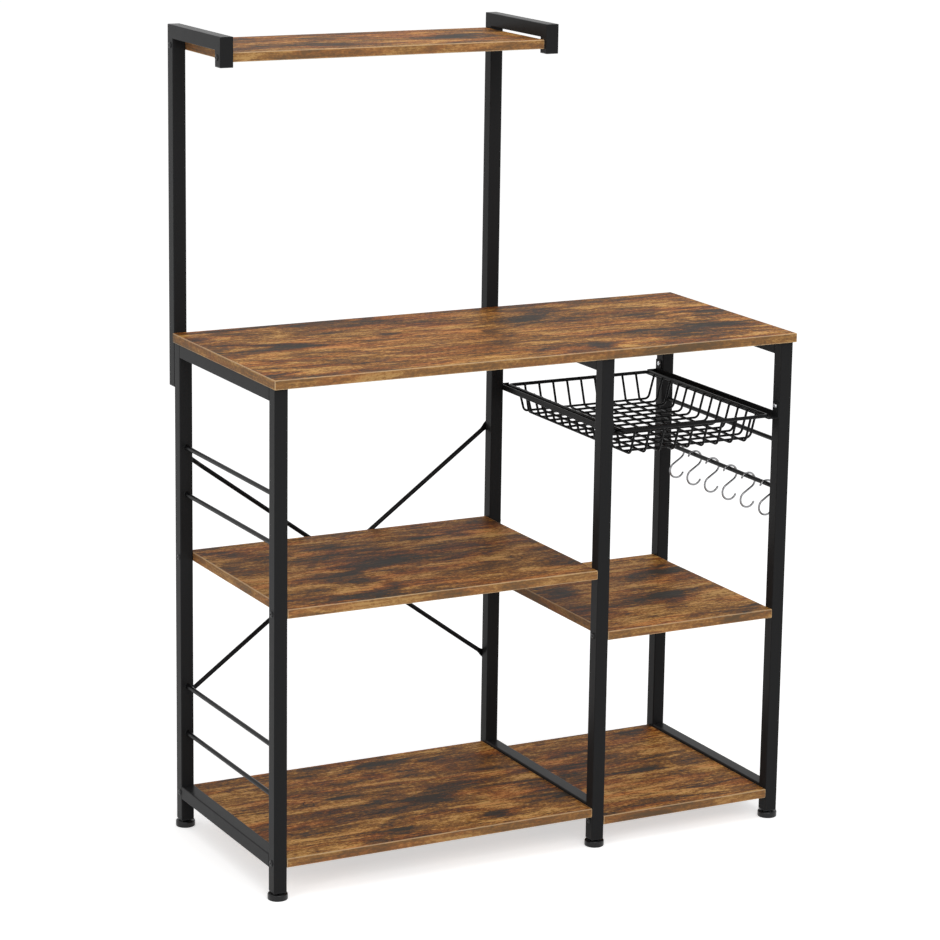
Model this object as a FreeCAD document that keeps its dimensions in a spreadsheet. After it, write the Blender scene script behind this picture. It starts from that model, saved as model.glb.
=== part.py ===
import FreeCAD, Part
import os
import re
import Sketcher
from FreeCAD import Placement, Rotation, Vector

os.makedirs("parts", exist_ok=True)
doc = FreeCAD.newDocument("KitchenRack")

# Driving sizes in millimetres and degrees. X runs along the rack, Y to the back, Z up.
DRIVING_SIZES = {
    # Square steel tube of every frame
    "tube": 22,
    "tube_wall": 1.2,
    "tube_corner": 1.5,
    # The three side frames
    "frame_depth": 393,
    "frame_top": 813,
    "foot_height": 13,
    "left_bay": 544,
    "right_bay": 312,
    "low_rail_height": 49.5,
    "right_rail_height": 33.5,
    # Boards
    "board": 15,
    "worktop_side": 3,
    "worktop_front": 6.5,
    "shelf_depth": 387,
    "left_middle_height": 453,
    "right_middle_height": 349,
    "left_bottom_height": 52,
    "right_bottom_height": 36,
    # Round rods of the end frames
    "rod": 7.5,
    "rod_height_a": 163,
    "rod_height_b": 243,
    "rod_height_c": 566,
    "rod_height_d": 644,
    "guard_height": 645,
    "hook_rod_height": 566,
    # Crossed braces behind the left bay
    "brace_low": 217,
    "brace_high": 631,
    "brace_tab_length": 30,
    "brace_tab_out": 8,
    "brace_neck": 14,
    "brace_tab_width": 13,
    "brace_tab_thick": 2.4,
    "brace_gap": 0.4,
    "brace_turn": 20,
    "brace_toe": 6,
    "rod_into_tab": 2,
    # Brackets and shelf above the worktop
    "hutch_bottom": 741,
    "hutch_reach": 211,
    "arm_over_shelf": 3,
    "drop_under_shelf": 6,
    "mitre_spare": 1,
    "top_shelf_height": 1280,
    "top_shelf_depth": 204,
    # Fasteners
    "bolt": 5,
    "bolt_play": 0.3,
    "bolt_head": 10,
    "bolt_head_thick": 1.8,
    "bolt_bite": 14,
    "wall_bite": 12,
    "bore_spare": 1,
    "rear_bolt_shift": -3.5,
    "drop_bolt_shift": 3,
    "worktop_bolt_inset": 60,
    "worktop_bolt_bite": 10,
    "hutch_bolt_low": 760,
    "hutch_bolt_high": 787,
    "screw": 4,
    "screw_head": 8,
    "screw_head_thick": 1.6,
    "screw_bite": 8,
    "screw_above": 19,
    # Wire basket and its runners
    "runner_height": 687,
    "runner_ledge": 20,
    "runner_wall": 10,
    "runner_thick": 1.5,
    "runner_tab_height": 25.5,
    "runner_tab_width": 17,
    "runner_end_play": 1,
    "runner_stop_height": 9,
    "rim_on_ledge": 1.5,
    "basket_rest_play": 0.3,
    "basket_front": 3,
    "basket_depth": 387,
    "rim_wire": 6,
    "rim_corner": 8,
    "basket_wire": 4,
    "basket_drop": 44,
    "side_lean": 15,
    "end_lean": 19,
    "wall_bend": 8.5,
    "weld_gap": 0.3,
    "wire_tip": 1.5,
    "cross_pitch": 27.2,
    "long_pitch": 27.2,
    # Hooks on the right-hand rod
    "hook_wire": 3.5,
    "hook_loop": 13.5,
    "hook_loop_apart": 32,
    "hook_sweep": 213,
    "hook_play": 0.5,
    "first_hook": 47.5,
    "hook_pitch": 57,
    # Levelling feet, their threaded plugs and the tube end caps
    "foot_disc": 32,
    "foot_thick": 10,
    "foot_edge": 2,
    "foot_dome": 3,
    "foot_stem": 6,
    "foot_stem_length": 26,
    "plug_play": 0.3,
    "plug_depth": 14,
    "plug_flange": 1.2,
    "stem_play": 0.3,
    "cap_thick": 1.5,
    "cap_depth": 8,
}
BEND_STEPS = 3
HOOK_STEPS = 10
RIM_STEPS = 4
HOOK_COUNT = 6
CROSS_WIRES = 13
LONG_WIRES = 9
WIRE_SIDES = 6
ROUND_SIDES = 8
ROD_SIDES = 12
FOOT_SIDES = 20

# Sizes that follow from the driving ones
FOLLOWING_SIZES = {
    "tube_inside": "tube - 2 * tube_wall",
    "hutch_top": "top_shelf_height + board + arm_over_shelf + tube",
    "drop_length": "tube + arm_over_shelf + board + drop_under_shelf",
    "post_length": "frame_top - foot_height",
    "rail_length": "frame_depth - 2 * tube",
    "left_x": "-(2 * tube + left_bay + right_bay) / 2",
    "middle_x": "left_x + tube + left_bay",
    "right_x": "middle_x + tube + right_bay",
    "left_bay_x": "left_x + (tube + left_bay) / 2",
    "right_bay_x": "middle_x + (tube + right_bay) / 2",
    "total_depth": "worktop_front + frame_depth + tube + bolt_head_thick",
    "front": "worktop_front - total_depth / 2",
    "front_post_y": "front + tube / 2",
    "rear_post_y": "front + frame_depth - tube / 2",
    "worktop_length": "3 * tube + left_bay + right_bay + 2 * worktop_side",
    "worktop_depth": "worktop_front + frame_depth",
    "hutch_y": "front + frame_depth + tube / 2",
    "upright_length": "hutch_top - hutch_bottom",
    "drop_y": "hutch_y + tube - hutch_reach",
    "bolt_radius": "bolt / 2",
    "bolt_hole": "(bolt + bolt_play) / 2",
    "screw_hole": "(screw + bolt_play) / 2",
    "front_bolt_along": "tube / 2",
    "rear_bolt_along": "frame_depth - tube / 2 + rear_bolt_shift",
    "top_shelf_front_bolt": "tube / 2 - hutch_reach + top_shelf_depth + drop_bolt_shift",
    "top_shelf_rear_bolt": "top_shelf_depth - tube / 2",
    "screw_z": "runner_height + screw_above",
    "screw_cut_half": "2 * runner_thick",
    "brace_reach": "left_bay + tube",
    "brace_climb": "brace_high - brace_low",
    "brace_tilt": "atan(brace_climb / brace_reach)",
    "brace_half": "sqrt(brace_reach * brace_reach + brace_climb * brace_climb) / 2",
    "brace_tab_start": "brace_half + brace_tab_out - brace_tab_length",
    "rod_radius": "rod / 2",
    "tab_y": "front + frame_depth",
    "near_rod_y": "tab_y + brace_tab_thick - rod / 2",
    "far_rod_y": "tab_y + brace_tab_thick + brace_gap + rod / 2",
    "brace_step": "far_rod_y - near_rod_y",
    "rod_end": "brace_tab_start + rod_into_tab",
    "rod_bend_end": "rod_end - brace_toe",
    "rod_bend_start": "rod_bend_end - brace_step / tan(brace_turn)",
    "basket_y": "front + basket_front + basket_depth / 2",
    "rim_z": "runner_height + runner_thick + basket_rest_play + rim_wire / 2",
    "rim_half_length": "right_bay / 2 - runner_ledge + rim_on_ledge",
    "rim_half_depth": "(basket_depth - rim_wire) / 2",
    "rim_radius": "rim_wire / 2",
    "rim_turn_outside": "rim_corner + rim_radius",
    "stop_off_turn": "rim_corner - rim_on_ledge",
    "stop_y": "basket_y + rim_half_depth - rim_corner + basket_rest_play"
              " + sqrt(rim_turn_outside * rim_turn_outside - stop_off_turn * stop_off_turn)",
    "wire_radius": "basket_wire / 2",
    "layer_gap": "basket_wire + weld_gap",
    "wall_off_rim": "(rim_wire + basket_wire) / 2 + weld_gap",
    "long_rise": "basket_drop + wall_off_rim * sin(end_lean)",
    "cross_rise": "basket_drop + wall_off_rim * sin(side_lean) - layer_gap",
    "long_reach": "wall_bend * tan((90 - end_lean) / 2)",
    "cross_reach": "wall_bend * tan((90 - side_lean) / 2)",
    "long_floor": "rim_half_depth - wall_off_rim * cos(end_lean) - long_reach"
                  " - long_rise * tan(end_lean)",
    "cross_floor": "rim_half_length - wall_off_rim * cos(side_lean) - cross_reach"
                   " - cross_rise * tan(side_lean)",
    "hook_radius": "hook_wire / 2",
    "hook_tilt": "asin(2 * hook_loop / hook_loop_apart)",
    "hook_straight": "hook_loop_apart / 2 * cos(hook_tilt)",
    "hook_middle_z": "hook_rod_height + rod / 2 + hook_radius + hook_play"
                     " - hook_loop - hook_loop_apart / 2",
    "foot_radius": "foot_disc / 2",
    "stem_radius": "foot_stem / 2",
    "stem_hole": "(foot_stem + stem_play) / 2",
    "plug_side": "tube_inside - plug_play",
}

sheet = doc.addObject("Spreadsheet::Sheet", "Sizes")
ALL_NAMES = set(DRIVING_SIZES) | set(FOLLOWING_SIZES)
rows = [(name, str(number)) for name, number in DRIVING_SIZES.items()]
rows += [(name, "=" + rule) for name, rule in FOLLOWING_SIZES.items()]
for row, (size_name, text) in enumerate(rows, 1):
    sheet.set("A%d" % row, size_name)
    sheet.set("B%d" % row, text)
    sheet.setAlias("B%d" % row, size_name)
doc.recompute()


KNOWN = {}


def worth(rule):
    """The present number of a rule written with size names."""
    if rule not in KNOWN:
        sheet.set("D1", "=" + rule)
        sheet.recompute()
        KNOWN[rule] = float(sheet.get("D1"))
    return KNOWN[rule]


def from_sheet(rule):
    """Turn a rule written with size names into an expression on the sheet."""
    return re.sub(r"[a-z_]+",
                  lambda word: "Sizes." + word.group() if word.group() in ALL_NAMES
                  else word.group(), rule)


def bind(thing, setting, rule):
    thing.setExpression(setting, from_sheet(rule))


def place(piece, x, y, z, turned=None):
    """Stand a piece at a place given by rules, turned by a fixed rotation."""
    if turned is not None:
        piece.Placement = Placement(Vector(0, 0, 0), turned)
    for axis, rule in zip("xyz", (x, y, z)):
        bind(piece, "Placement.Base." + axis, rule)


UPRIGHT = Rotation()
LYING_BACK = Rotation(Vector(1, 0, 0), -90)
FACING_RIGHT = Rotation(Vector(0, 1, 0), 90)
FACING_LEFT = Rotation(Vector(0, 1, 0), -90)
FACING_FRONT = Rotation(Vector(1, 0, 0), 90)
# A piece turned by a rule starts from this angle about its axis
FIRST_TURN = 30
NODES = []


def keep(piece, label):
    """Give a finished piece its name and list it for export."""
    piece.Label = label
    NODES.append(piece)
    return piece


# Helpers for sketched bodies

def new_body(label):
    return keep(doc.addObject("PartDesign::Body", label), label)


def origin_part(body, role):
    return next(part for part in body.Origin.OriginFeatures if part.Role == role)


def new_sketch(body, name, plane, raised=None):
    """A sketch on one of the body's own planes, or raised from it by a rule."""
    sketch = body.newObject("Sketcher::SketchObject", name)
    sketch.AttachmentSupport = (origin_part(body, plane), [""])
    sketch.MapMode = "FlatFace"
    if raised:
        bind(sketch, "AttachmentOffset.Base.z", raised)
    return sketch


def pin(sketch, line, end, x, y):
    """Hold one end of a line at the point that two rules give."""
    for kind, rule, axis in (("DistanceX", x, -2), ("DistanceY", y, -1)):
        if abs(worth(rule)) < 1e-6:
            sketch.addConstraint(Sketcher.Constraint("PointOnObject", line, end, axis))
        else:
            index = sketch.addConstraint(
                Sketcher.Constraint(kind, -1, 1, line, end, worth(rule)))
            sketch.renameConstraint(index, "size_%d" % index)
            bind(sketch, "Constraints.size_%d" % index, rule)


def draw(sketch, points, closed=True):
    """Join points given by rules with straight lines, each point held by its rules."""
    first = sketch.GeometryCount
    places = [Vector(worth(x), worth(y), 0) for x, y in points]
    count = len(points) if closed else len(points) - 1
    for k in range(count):
        following = places[(k + 1) % len(points)]
        sketch.addGeometry(Part.LineSegment(places[k], following), False)
        pin(sketch, first + k, 1, *points[k])
        if k:
            sketch.addConstraint(Sketcher.Constraint("Coincident", first + k - 1, 2, first + k, 1))
    if closed:
        sketch.addConstraint(Sketcher.Constraint("Coincident", first + count - 1, 2, first, 1))
    else:
        pin(sketch, first + count - 1, 2, *points[-1])


def rectangle(x1, y1, x2, y2):
    return [(x1, y1), (x2, y1), (x2, y2), (x1, y2)]


def round_outline(sides, radius, x="0", y="0"):
    """The corners of a many-sided stand-in for a circle."""
    return [("%s + %s * cos(%g)" % (x, radius, 360 * k / sides),
             "%s + %s * sin(%g)" % (y, radius, 360 * k / sides)) for k in range(sides)]


def eased_square(side, corner):
    """A centred square with its corners cut off by a small flat."""
    half = side + " / 2"
    short = "(%s / 2 - %s)" % (side, corner)
    return [("-" + short, "-" + half), (short, "-" + half), (half, "-" + short), (half, short),
            (short, half), ("-" + short, half), ("-" + half, short), ("-" + half, "-" + short)]


def pad(body, sketch, length, down=False):
    feature = body.newObject("PartDesign::Pad", body.Name + "_pad")
    feature.Profile = sketch
    bind(feature, "Length", length)
    feature.Reversed = down
    return feature


def cut_through(body, sketch, one_side=0):
    """Cut a sketch through the body, both ways or only to the stated side of its plane."""
    feature = body.newObject("PartDesign::Pocket", body.Name + "_cut")
    feature.Profile = sketch
    feature.Type = "ThroughAll"
    feature.Midplane = not one_side
    feature.Reversed = one_side > 0
    return feature


def mirrored(body, feature, plane):
    other = body.newObject("PartDesign::Mirrored", body.Name + "_mirror")
    other.Originals = [feature]
    other.MirrorPlane = (origin_part(body, plane), [""])
    body.Tip = other
    return other


def swept_wire(body, path_plane, points, section_plane, sides, radius, centre="0"):
    """Sweep a round wire along joined straight steps that leave the section at right angles."""
    path = new_sketch(body, body.Name + "_path", path_plane)
    draw(path, points, closed=False)
    section = new_sketch(body, body.Name + "_wire", section_plane)
    draw(section, round_outline(sides, radius, x=centre))
    feature = body.newObject("PartDesign::AdditivePipe", body.Name + "_pipe")
    feature.Profile = section
    feature.Spine = (path, ["Edge%d" % (k + 1) for k in range(path.GeometryCount)])
    feature.Transition = "Right corner"
    body.Tip = feature
    return feature


# Square tubes

def drill(body, across, spots, hole, one_wall=0):
    """Drill a tube along its own X or Y at offset and height rules."""
    plane = "YZ_Plane" if across == "X" else "XZ_Plane"
    sketch = new_sketch(body, body.Name + "_holes_" + across, plane)
    for offset, height in spots:
        draw(sketch, round_outline(ROUND_SIDES, hole, offset, height))
    return cut_through(body, sketch, one_wall)


def mitre(body, side, end, inward):
    """Cut a tube's end at 45 degrees; side is the sign of Y on which it gets shorter."""
    reach = "%d * (tube / 2 + mitre_spare)" % side
    tip = "%s - %d" % (end, inward)
    sketch = new_sketch(body, body.Name + "_mitre", "YZ_Plane")
    draw(sketch, [(reach, tip), (reach, "%s + %d * (tube + 2 * mitre_spare)" % (tip, inward)),
                  ("-" + reach, tip)])
    return cut_through(body, sketch)


def square_tube(label, length, x, y, z, turned=None, holes_x=(), holes_y=()):
    """A steel tube that runs along its own Z from its placed end."""
    body = new_body(label)
    section = new_sketch(body, label + "_section", "XY_Plane")
    draw(section, eased_square("tube", "tube_corner"))
    half = "tube_inside / 2"
    draw(section, rectangle("-" + half, "-" + half, half, half))
    pad(body, section, length)
    for across, spots in (("X", holes_x), ("Y", holes_y)):
        if spots:
            drill(body, across, spots, "bolt_hole")
    place(body, x, y, z, turned)
    return body


# Side frames: six posts that stand on the feet
LEFT_BOARDS = ["left_middle_height + board / 2", "left_bottom_height + board / 2"]
RIGHT_BOARDS = ["right_middle_height + board / 2", "right_bottom_height + board / 2"]
BRACE_BOLTS = ["brace_low", "brace_high"]
HUTCH_BOLTS = ["hutch_bolt_low", "hutch_bolt_high"]


def on_post(heights, offset="0"):
    return [(offset, height + " - foot_height") for height in heights]


for side, boards, runner_side in (("left", LEFT_BOARDS, 0),
                                  ("middle", LEFT_BOARDS + RIGHT_BOARDS, 1),
                                  ("right", RIGHT_BOARDS, -1)):
    front_post = square_tube(side + "_front_post", "post_length", side + "_x", "front_post_y",
                             "foot_height", holes_x=on_post(boards))
    rear_post = square_tube(side + "_rear_post", "post_length", side + "_x", "rear_post_y",
                            "foot_height", holes_x=on_post(boards, "rear_bolt_shift"))
    if side != "right":
        drill(rear_post, "Y", on_post(BRACE_BOLTS + HUTCH_BOLTS), "bolt_hole", -1)
    if runner_side:
        for post in (front_post, rear_post):
            drill(post, "X", on_post(["screw_z"]), "screw_hole", runner_side)

# Rails that tie each front post to its rear post, top and bottom
for side in ("left", "middle", "right"):
    square_tube(side + "_top_rail", "rail_length", side + "_x", "front + tube",
                "frame_top - tube / 2", LYING_BACK,
                holes_y=[("0", "worktop_bolt_inset - tube"),
                         ("0", "frame_depth - worktop_bolt_inset - tube")])
    low = "right_rail_height" if side == "right" else "low_rail_height"
    square_tube(side + "_bottom_rail", "rail_length", side + "_x", "front + tube",
                low + " + tube / 2", LYING_BACK)

# Brackets that carry the upper shelf, mitred at both corners
for side, name in (("left", "left_hutch"), ("middle", "right_hutch")):
    upright = square_tube(name + "_upright", "upright_length", side + "_x", "hutch_y",
                          "hutch_bottom",
                          holes_x=[("0", "top_shelf_height + board / 2 - hutch_bottom")],
                          holes_y=[("0", height + " - hutch_bottom") for height in HUTCH_BOLTS])
    mitre(upright, -1, "upright_length", -1)
    arm = square_tube(name + "_arm", "hutch_reach", side + "_x", "drop_y - tube / 2",
                      "hutch_top - tube / 2", LYING_BACK)
    mitre(arm, 1, "hutch_reach", -1)
    mitre(arm, 1, "0", 1)
    drop = square_tube(name + "_drop", "drop_length", side + "_x", "drop_y",
                       "hutch_top - drop_length",
                       holes_x=[("drop_bolt_shift",
                                 "top_shelf_height + board / 2 - hutch_top + drop_length")])
    mitre(drop, 1, "drop_length", -1)


# Small repeated pieces: one pattern, and copies of it as separate solids in one node

def group(label, pattern, spots):
    links = []
    for index, (x, y, z, turned) in enumerate(spots):
        link = doc.addObject("App::Link", "%s_%d" % (label, index + 1))
        link.LinkedObject = pattern
        place(link, x, y, z, turned)
        links.append(link)
    copies = doc.addObject("Part::Compound", label)
    copies.Links = links
    return keep(copies, label)


def plug_pattern(name, flange, depth):
    """A square flange below Z zero, as wide as the tube, with a plug that enters it."""
    body = doc.addObject("PartDesign::Body", name)
    outline = new_sketch(body, name + "_flange", "XY_Plane")
    draw(outline, eased_square("tube", "tube_corner"))
    pad(body, outline, flange, down=True)
    outline = new_sketch(body, name + "_plug", "XY_Plane")
    half = "plug_side / 2"
    draw(outline, rectangle("-" + half, "-" + half, half, half))
    pad(body, outline, depth)
    return body


# Plastic caps that close the lower ends of the brackets
cap_spots = []
for side in ("left", "middle"):
    cap_spots.append((side + "_x", "hutch_y", "hutch_bottom", UPRIGHT))
    cap_spots.append((side + "_x", "drop_y", "hutch_top - drop_length", UPRIGHT))
group("tube_end_caps", plug_pattern("cap_pattern", "cap_thick", "cap_depth"), cap_spots)

# Threaded plugs in the lower ends of the posts
foot_plug = plug_pattern("foot_plug_pattern", "plug_flange", "plug_depth")
stem_bore = new_sketch(foot_plug, "foot_plug_bore", "XY_Plane")
draw(stem_bore, round_outline(ROUND_SIDES, "stem_hole"))
cut_through(foot_plug, stem_bore)
foot_spots = []
for side in ("left", "middle", "right"):
    for end in ("front", "rear"):
        foot_spots.append((side + "_x", end + "_post_y", "foot_height", UPRIGHT))
group("foot_inserts", foot_plug, foot_spots)

# Levelling feet: a disc with a sloping top under each post, on a stem that screws up
for x, y, _, _ in foot_spots:
    label = x.replace("_x", "") + "_" + y.replace("_post_y", "") + "_foot"
    foot = new_body(label)
    disc = new_sketch(foot, label + "_disc", "XY_Plane")
    draw(disc, round_outline(FOOT_SIDES, "foot_radius"))
    plate = pad(foot, disc, "foot_thick")
    doc.recompute()
    top_face = max(range(len(plate.Shape.Faces)),
                   key=lambda k: plate.Shape.Faces[k].CenterOfMass.z)
    slope = foot.newObject("PartDesign::Chamfer", label + "_slope")
    slope.Base = (plate, ["Face%d" % (top_face + 1)])
    slope.ChamferType = "Two distances"
    bind(slope, "Size", "foot_dome")
    bind(slope, "Size2", "foot_edge")
    stem = new_sketch(foot, label + "_stem", "XY_Plane")
    draw(stem, round_outline(ROUND_SIDES, "stem_radius"))
    pad(foot, stem, "foot_stem_length")
    place(foot, x, y, "0")


# Boards

def board(label, length, depth, x, y, z, end_spots=()):
    """A board centred on X, bored in both ends at distances from its front edge."""
    body = new_body(label)
    outline = new_sketch(body, label + "_outline", "XY_Plane")
    half = length + " / 2"
    draw(outline, rectangle("-" + half, "0", half, depth))
    pad(body, outline, "board")
    if end_spots:
        ends = new_sketch(body, label + "_ends", "YZ_Plane", raised=half)
        for along in end_spots:
            draw(ends, round_outline(ROUND_SIDES, "bolt_hole", along, "board / 2"))
        bore = body.newObject("PartDesign::Pocket", label + "_bore")
        bore.Profile = ends
        bind(bore, "Length", "bolt_bite + bore_spare")
        mirrored(body, bore, "YZ_Plane")
    place(body, x, y, z)
    return body


SHELF_BOLTS = ["front_bolt_along", "rear_bolt_along"]
for label, bay in (("left_middle", "left_bay"), ("right_middle", "right_bay"),
                   ("left_bottom", "left_bay"), ("right_bottom", "right_bay")):
    board(label + "_shelf", bay, "shelf_depth", bay + "_x", "front", label + "_height",
          SHELF_BOLTS)
board("top_shelf", "left_bay", "top_shelf_depth", "left_bay_x",
      "hutch_y + tube / 2 - top_shelf_depth", "top_shelf_height",
      ["top_shelf_front_bolt", "top_shelf_rear_bolt"])

# Worktop, bored from below for the bolts that come up through the top rails
worktop = board("worktop", "worktop_length", "worktop_depth", "0", "front - worktop_front",
                "frame_top")
worktop_spots = [(side + "_x", along) for side in ("left", "middle", "right")
                 for along in ("worktop_bolt_inset", "frame_depth - worktop_bolt_inset")]
underside = new_sketch(worktop, "worktop_underside", "XY_Plane")
for across, along in worktop_spots:
    draw(underside, round_outline(ROUND_SIDES, "bolt_hole", across,
                                  "worktop_front + " + along))
bore = worktop.newObject("PartDesign::Pocket", "worktop_bore")
bore.Profile = underside
bore.Reversed = True
bind(bore, "Length", "worktop_bolt_bite + bore_spare")


# Simple solids with sizes and place given by rules

def primitive(kind, name, sizes, x, y, z, turned=None):
    solid = doc.addObject(kind, name)
    for setting, rule in sizes.items():
        bind(solid, setting, rule)
    place(solid, x, y, z, turned)
    return solid


def round_bar(name, sides, radius, length, x, y, z, turned=None):
    bar = primitive("Part::Prism", name, {"Circumradius": radius, "Height": length},
                    x, y, z, turned)
    bar.Polygon = sides
    return bar


def box(name, length, width, height, x, y, z):
    return primitive("Part::Box", name, {"Length": length, "Width": width, "Height": height},
                     x, y, z)


# Round rods welded between the posts of the end frames
for label, side, height in (("left_rod_lowest", "left", "rod_height_a"),
                            ("left_rod_lower", "left", "rod_height_b"),
                            ("left_rod_upper", "left", "rod_height_c"),
                            ("left_rod_highest", "left", "rod_height_d"),
                            ("right_guard_rod", "right", "guard_height"),
                            ("hook_rod", "right", "hook_rod_height")):
    keep(round_bar(label, ROD_SIDES, "rod_radius", "rail_length", side + "_x", "front + tube",
                   height, LYING_BACK), label)


# Crossed braces behind the left bay: rods whose ends widen into flat bored tabs. One steps
# back between its ends, so that the two pass each other at the crossing

def brace(label, axis, rod_y, half_path):
    body = new_body(label)
    rod = swept_wire(body, "XY_Plane", half_path, "YZ_Plane", ROUND_SIDES, "rod_radius")
    mirrored(body, rod, "YZ_Plane")
    tab = new_sketch(body, label + "_tab", "XZ_Plane", raised="%s - tab_y" % rod_y)
    half = "brace_tab_width / 2"
    neck = "brace_tab_start + brace_neck"
    tip = "brace_half + brace_tab_out"
    draw(tab, [("brace_tab_start", "-rod_radius"), (neck, "-" + half), (tip, "-" + half),
               (tip, half), (neck, half), ("brace_tab_start", "rod_radius")])
    draw(tab, round_outline(ROUND_SIDES, "bolt_hole", "brace_half"))
    mirrored(body, pad(body, tab, "brace_tab_thick", down=True), "YZ_Plane")
    place(body, "left_bay_x", rod_y, "(brace_low + brace_high) / 2",
          Rotation(axis, FIRST_TURN))
    bind(body, "Placement.Rotation.Angle", "brace_tilt")


brace("rising_brace", Vector(0, -1, 0), "near_rod_y", [("0", "0"), ("rod_end", "0")])
brace("falling_brace", Vector(0, 1, 0), "far_rod_y",
      [("0", "0"), ("rod_bend_start", "0"), ("rod_bend_end", "-brace_step"),
       ("rod_end", "-brace_step")])


# Runners for the basket: an angle between two posts, with an upright tab at each end for
# its screw and a turned-up stop behind the basket

def runner(label, wall, into_bay):
    """wall is the X of the posts' face; into_bay is the sign of X away from it."""
    def left_edge(width):
        return wall if into_bay > 0 else "%s - %s" % (wall, width)

    start = "front + runner_end_play"
    length = "frame_depth - 2 * runner_end_play"
    rear = "front + frame_depth - runner_end_play - runner_tab_width"
    ledge_x = left_edge("runner_ledge")
    thin_x = left_edge("runner_thick")
    angle = doc.addObject("Part::MultiFuse", label + "_angle")
    angle.Shapes = [
        box(label + "_ledge", "runner_ledge", length, "runner_thick",
            ledge_x, start, "runner_height"),
        box(label + "_wall", "runner_thick", length, "runner_wall",
            thin_x, start, "runner_height"),
        box(label + "_front_tab", "runner_thick", "runner_tab_width", "runner_tab_height",
            thin_x, start, "runner_height"),
        box(label + "_rear_tab", "runner_thick", "runner_tab_width", "runner_tab_height",
            thin_x, rear, "runner_height"),
        box(label + "_stop", "runner_ledge", "runner_thick", "runner_stop_height",
            ledge_x, "stop_y", "runner_height"),
    ]
    angle.Refine = True
    holes = doc.addObject("Part::Compound", label + "_holes")
    holes.Links = [round_bar(label + "_hole", ROUND_SIDES, "screw_hole", "2 * screw_cut_half",
                             wall + " - screw_cut_half", spot, "screw_z", FACING_RIGHT)
                   for spot in ("front_post_y", "rear_post_y")]
    drilled = doc.addObject("Part::Cut", label)
    drilled.Base = angle
    drilled.Tool = holes
    keep(drilled, label)


runner("left_basket_runner", "middle_x + tube / 2", 1)
runner("right_basket_runner", "right_x - tube / 2", -1)

# Basket rim: a loop of heavier wire, half of it swept and the other half its mirror image
rim = new_body("basket_rim")
flat_x = "(rim_half_length - rim_corner)"
flat_y = "(rim_half_depth - rim_corner)"
corner = [("rim_corner * cos(%g)" % (90 * k / RIM_STEPS),
           "rim_corner * sin(%g)" % (90 * k / RIM_STEPS)) for k in range(RIM_STEPS + 1)]
rim_points = [("rim_half_length", "0")]
rim_points += [("%s + %s" % (flat_x, x), "%s + %s" % (flat_y, y)) for x, y in corner]
rim_points += [("-%s - %s" % (flat_x, x), "%s + %s" % (flat_y, y)) for x, y in corner[::-1]]
rim_points += [("-rim_half_length", "0")]
rim_half = swept_wire(rim, "XY_Plane", rim_points, "XZ_Plane", ROUND_SIDES, "rim_radius",
                      centre="rim_half_length")
mirrored(rim, rim_half, "XZ_Plane")
place(rim, "right_bay_x", "basket_y", "rim_z")


# Basket wires: a row of lengthwise wires below and a row of cross wires above, each with
# a flat floor run and both ends bent up inside the rim

def basket_row(label, planes, direction, end, count, pitch, x, y, z):
    """planes hold a wire's path and its round section; end names its size rules."""
    path_plane, section_plane = planes
    floor, rise, reach, lean = end
    body = new_body(label)
    body.AllowCompound = True
    points = [("0", "0")]
    for k in range(BEND_STEPS + 1):
        turn = "(90 - %s) * %d / %d" % (lean, k, BEND_STEPS)
        points.append(("%s + wall_bend * sin(%s)" % (floor, turn),
                       "wall_bend * (1 - cos(%s))" % turn))
    points.append(("%s + %s + (%s + wire_tip) * tan(%s)" % (floor, reach, rise, lean),
                   "%s + wire_tip" % rise))
    wire = swept_wire(body, path_plane, points, section_plane, WIRE_SIDES, "wire_radius")
    row = body.newObject("PartDesign::MultiTransform", label + "_row")
    other_end = body.newObject("PartDesign::Mirrored", label + "_mirror")
    other_end.MirrorPlane = (origin_part(body, section_plane), [""])
    pattern = body.newObject("PartDesign::LinearPattern", label + "_pattern")
    pattern.Direction = (origin_part(body, direction), [""])
    pattern.Occurrences = count
    bind(pattern, "Length", "%s * %d" % (pitch, count - 1))
    row.Originals = [wire]
    row.Transformations = [other_end, pattern]
    body.Tip = row
    place(body, x, y, z)


basket_row("basket_long_wires", ("YZ_Plane", "XZ_Plane"), "X_Axis",
           ("long_floor", "long_rise", "long_reach", "end_lean"), LONG_WIRES, "long_pitch",
           "right_bay_x - long_pitch * %g" % ((LONG_WIRES - 1) / 2),
           "basket_y", "rim_z - basket_drop")
basket_row("basket_cross_wires", ("XZ_Plane", "YZ_Plane"), "Y_Axis",
           ("cross_floor", "cross_rise", "cross_reach", "side_lean"), CROSS_WIRES, "cross_pitch",
           "right_bay_x", "basket_y - cross_pitch * %g" % ((CROSS_WIRES - 1) / 2),
           "rim_z - basket_drop + layer_gap")

# Hooks: bent wire on the right-hand rod; the lower half is the upper one turned half round
loop_points = [("0", "0"), ("0", "hook_straight")]
for k in range(1, HOOK_STEPS + 1):
    turn = "hook_sweep * %d / %d" % (k, HOOK_STEPS)
    loop_points.append(("hook_loop * (cos(%s) - 1)" % turn,
                        "hook_straight + hook_loop * sin(%s)" % turn))
for number in range(HOOK_COUNT):
    hook = new_body("s_hook_%d" % (number + 1))
    half_hook = swept_wire(hook, "XZ_Plane", loop_points, "XY_Plane", ROUND_SIDES,
                           "hook_radius")
    both = hook.newObject("PartDesign::PolarPattern", hook.Name + "_both")
    both.Originals = [half_hook]
    both.Axis = (origin_part(hook, "Y_Axis"), [""])
    both.Angle = 360
    both.Occurrences = 2
    hook.Tip = both
    place(hook, "right_x", "front + first_hook + hook_pitch * %d" % number, "hook_middle_z",
          Rotation(Vector(0, 1, 0), FIRST_TURN))
    bind(hook, "Placement.Rotation.Angle", "hook_tilt")


# Fasteners: a round head below Z zero and a plain shank above it

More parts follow.
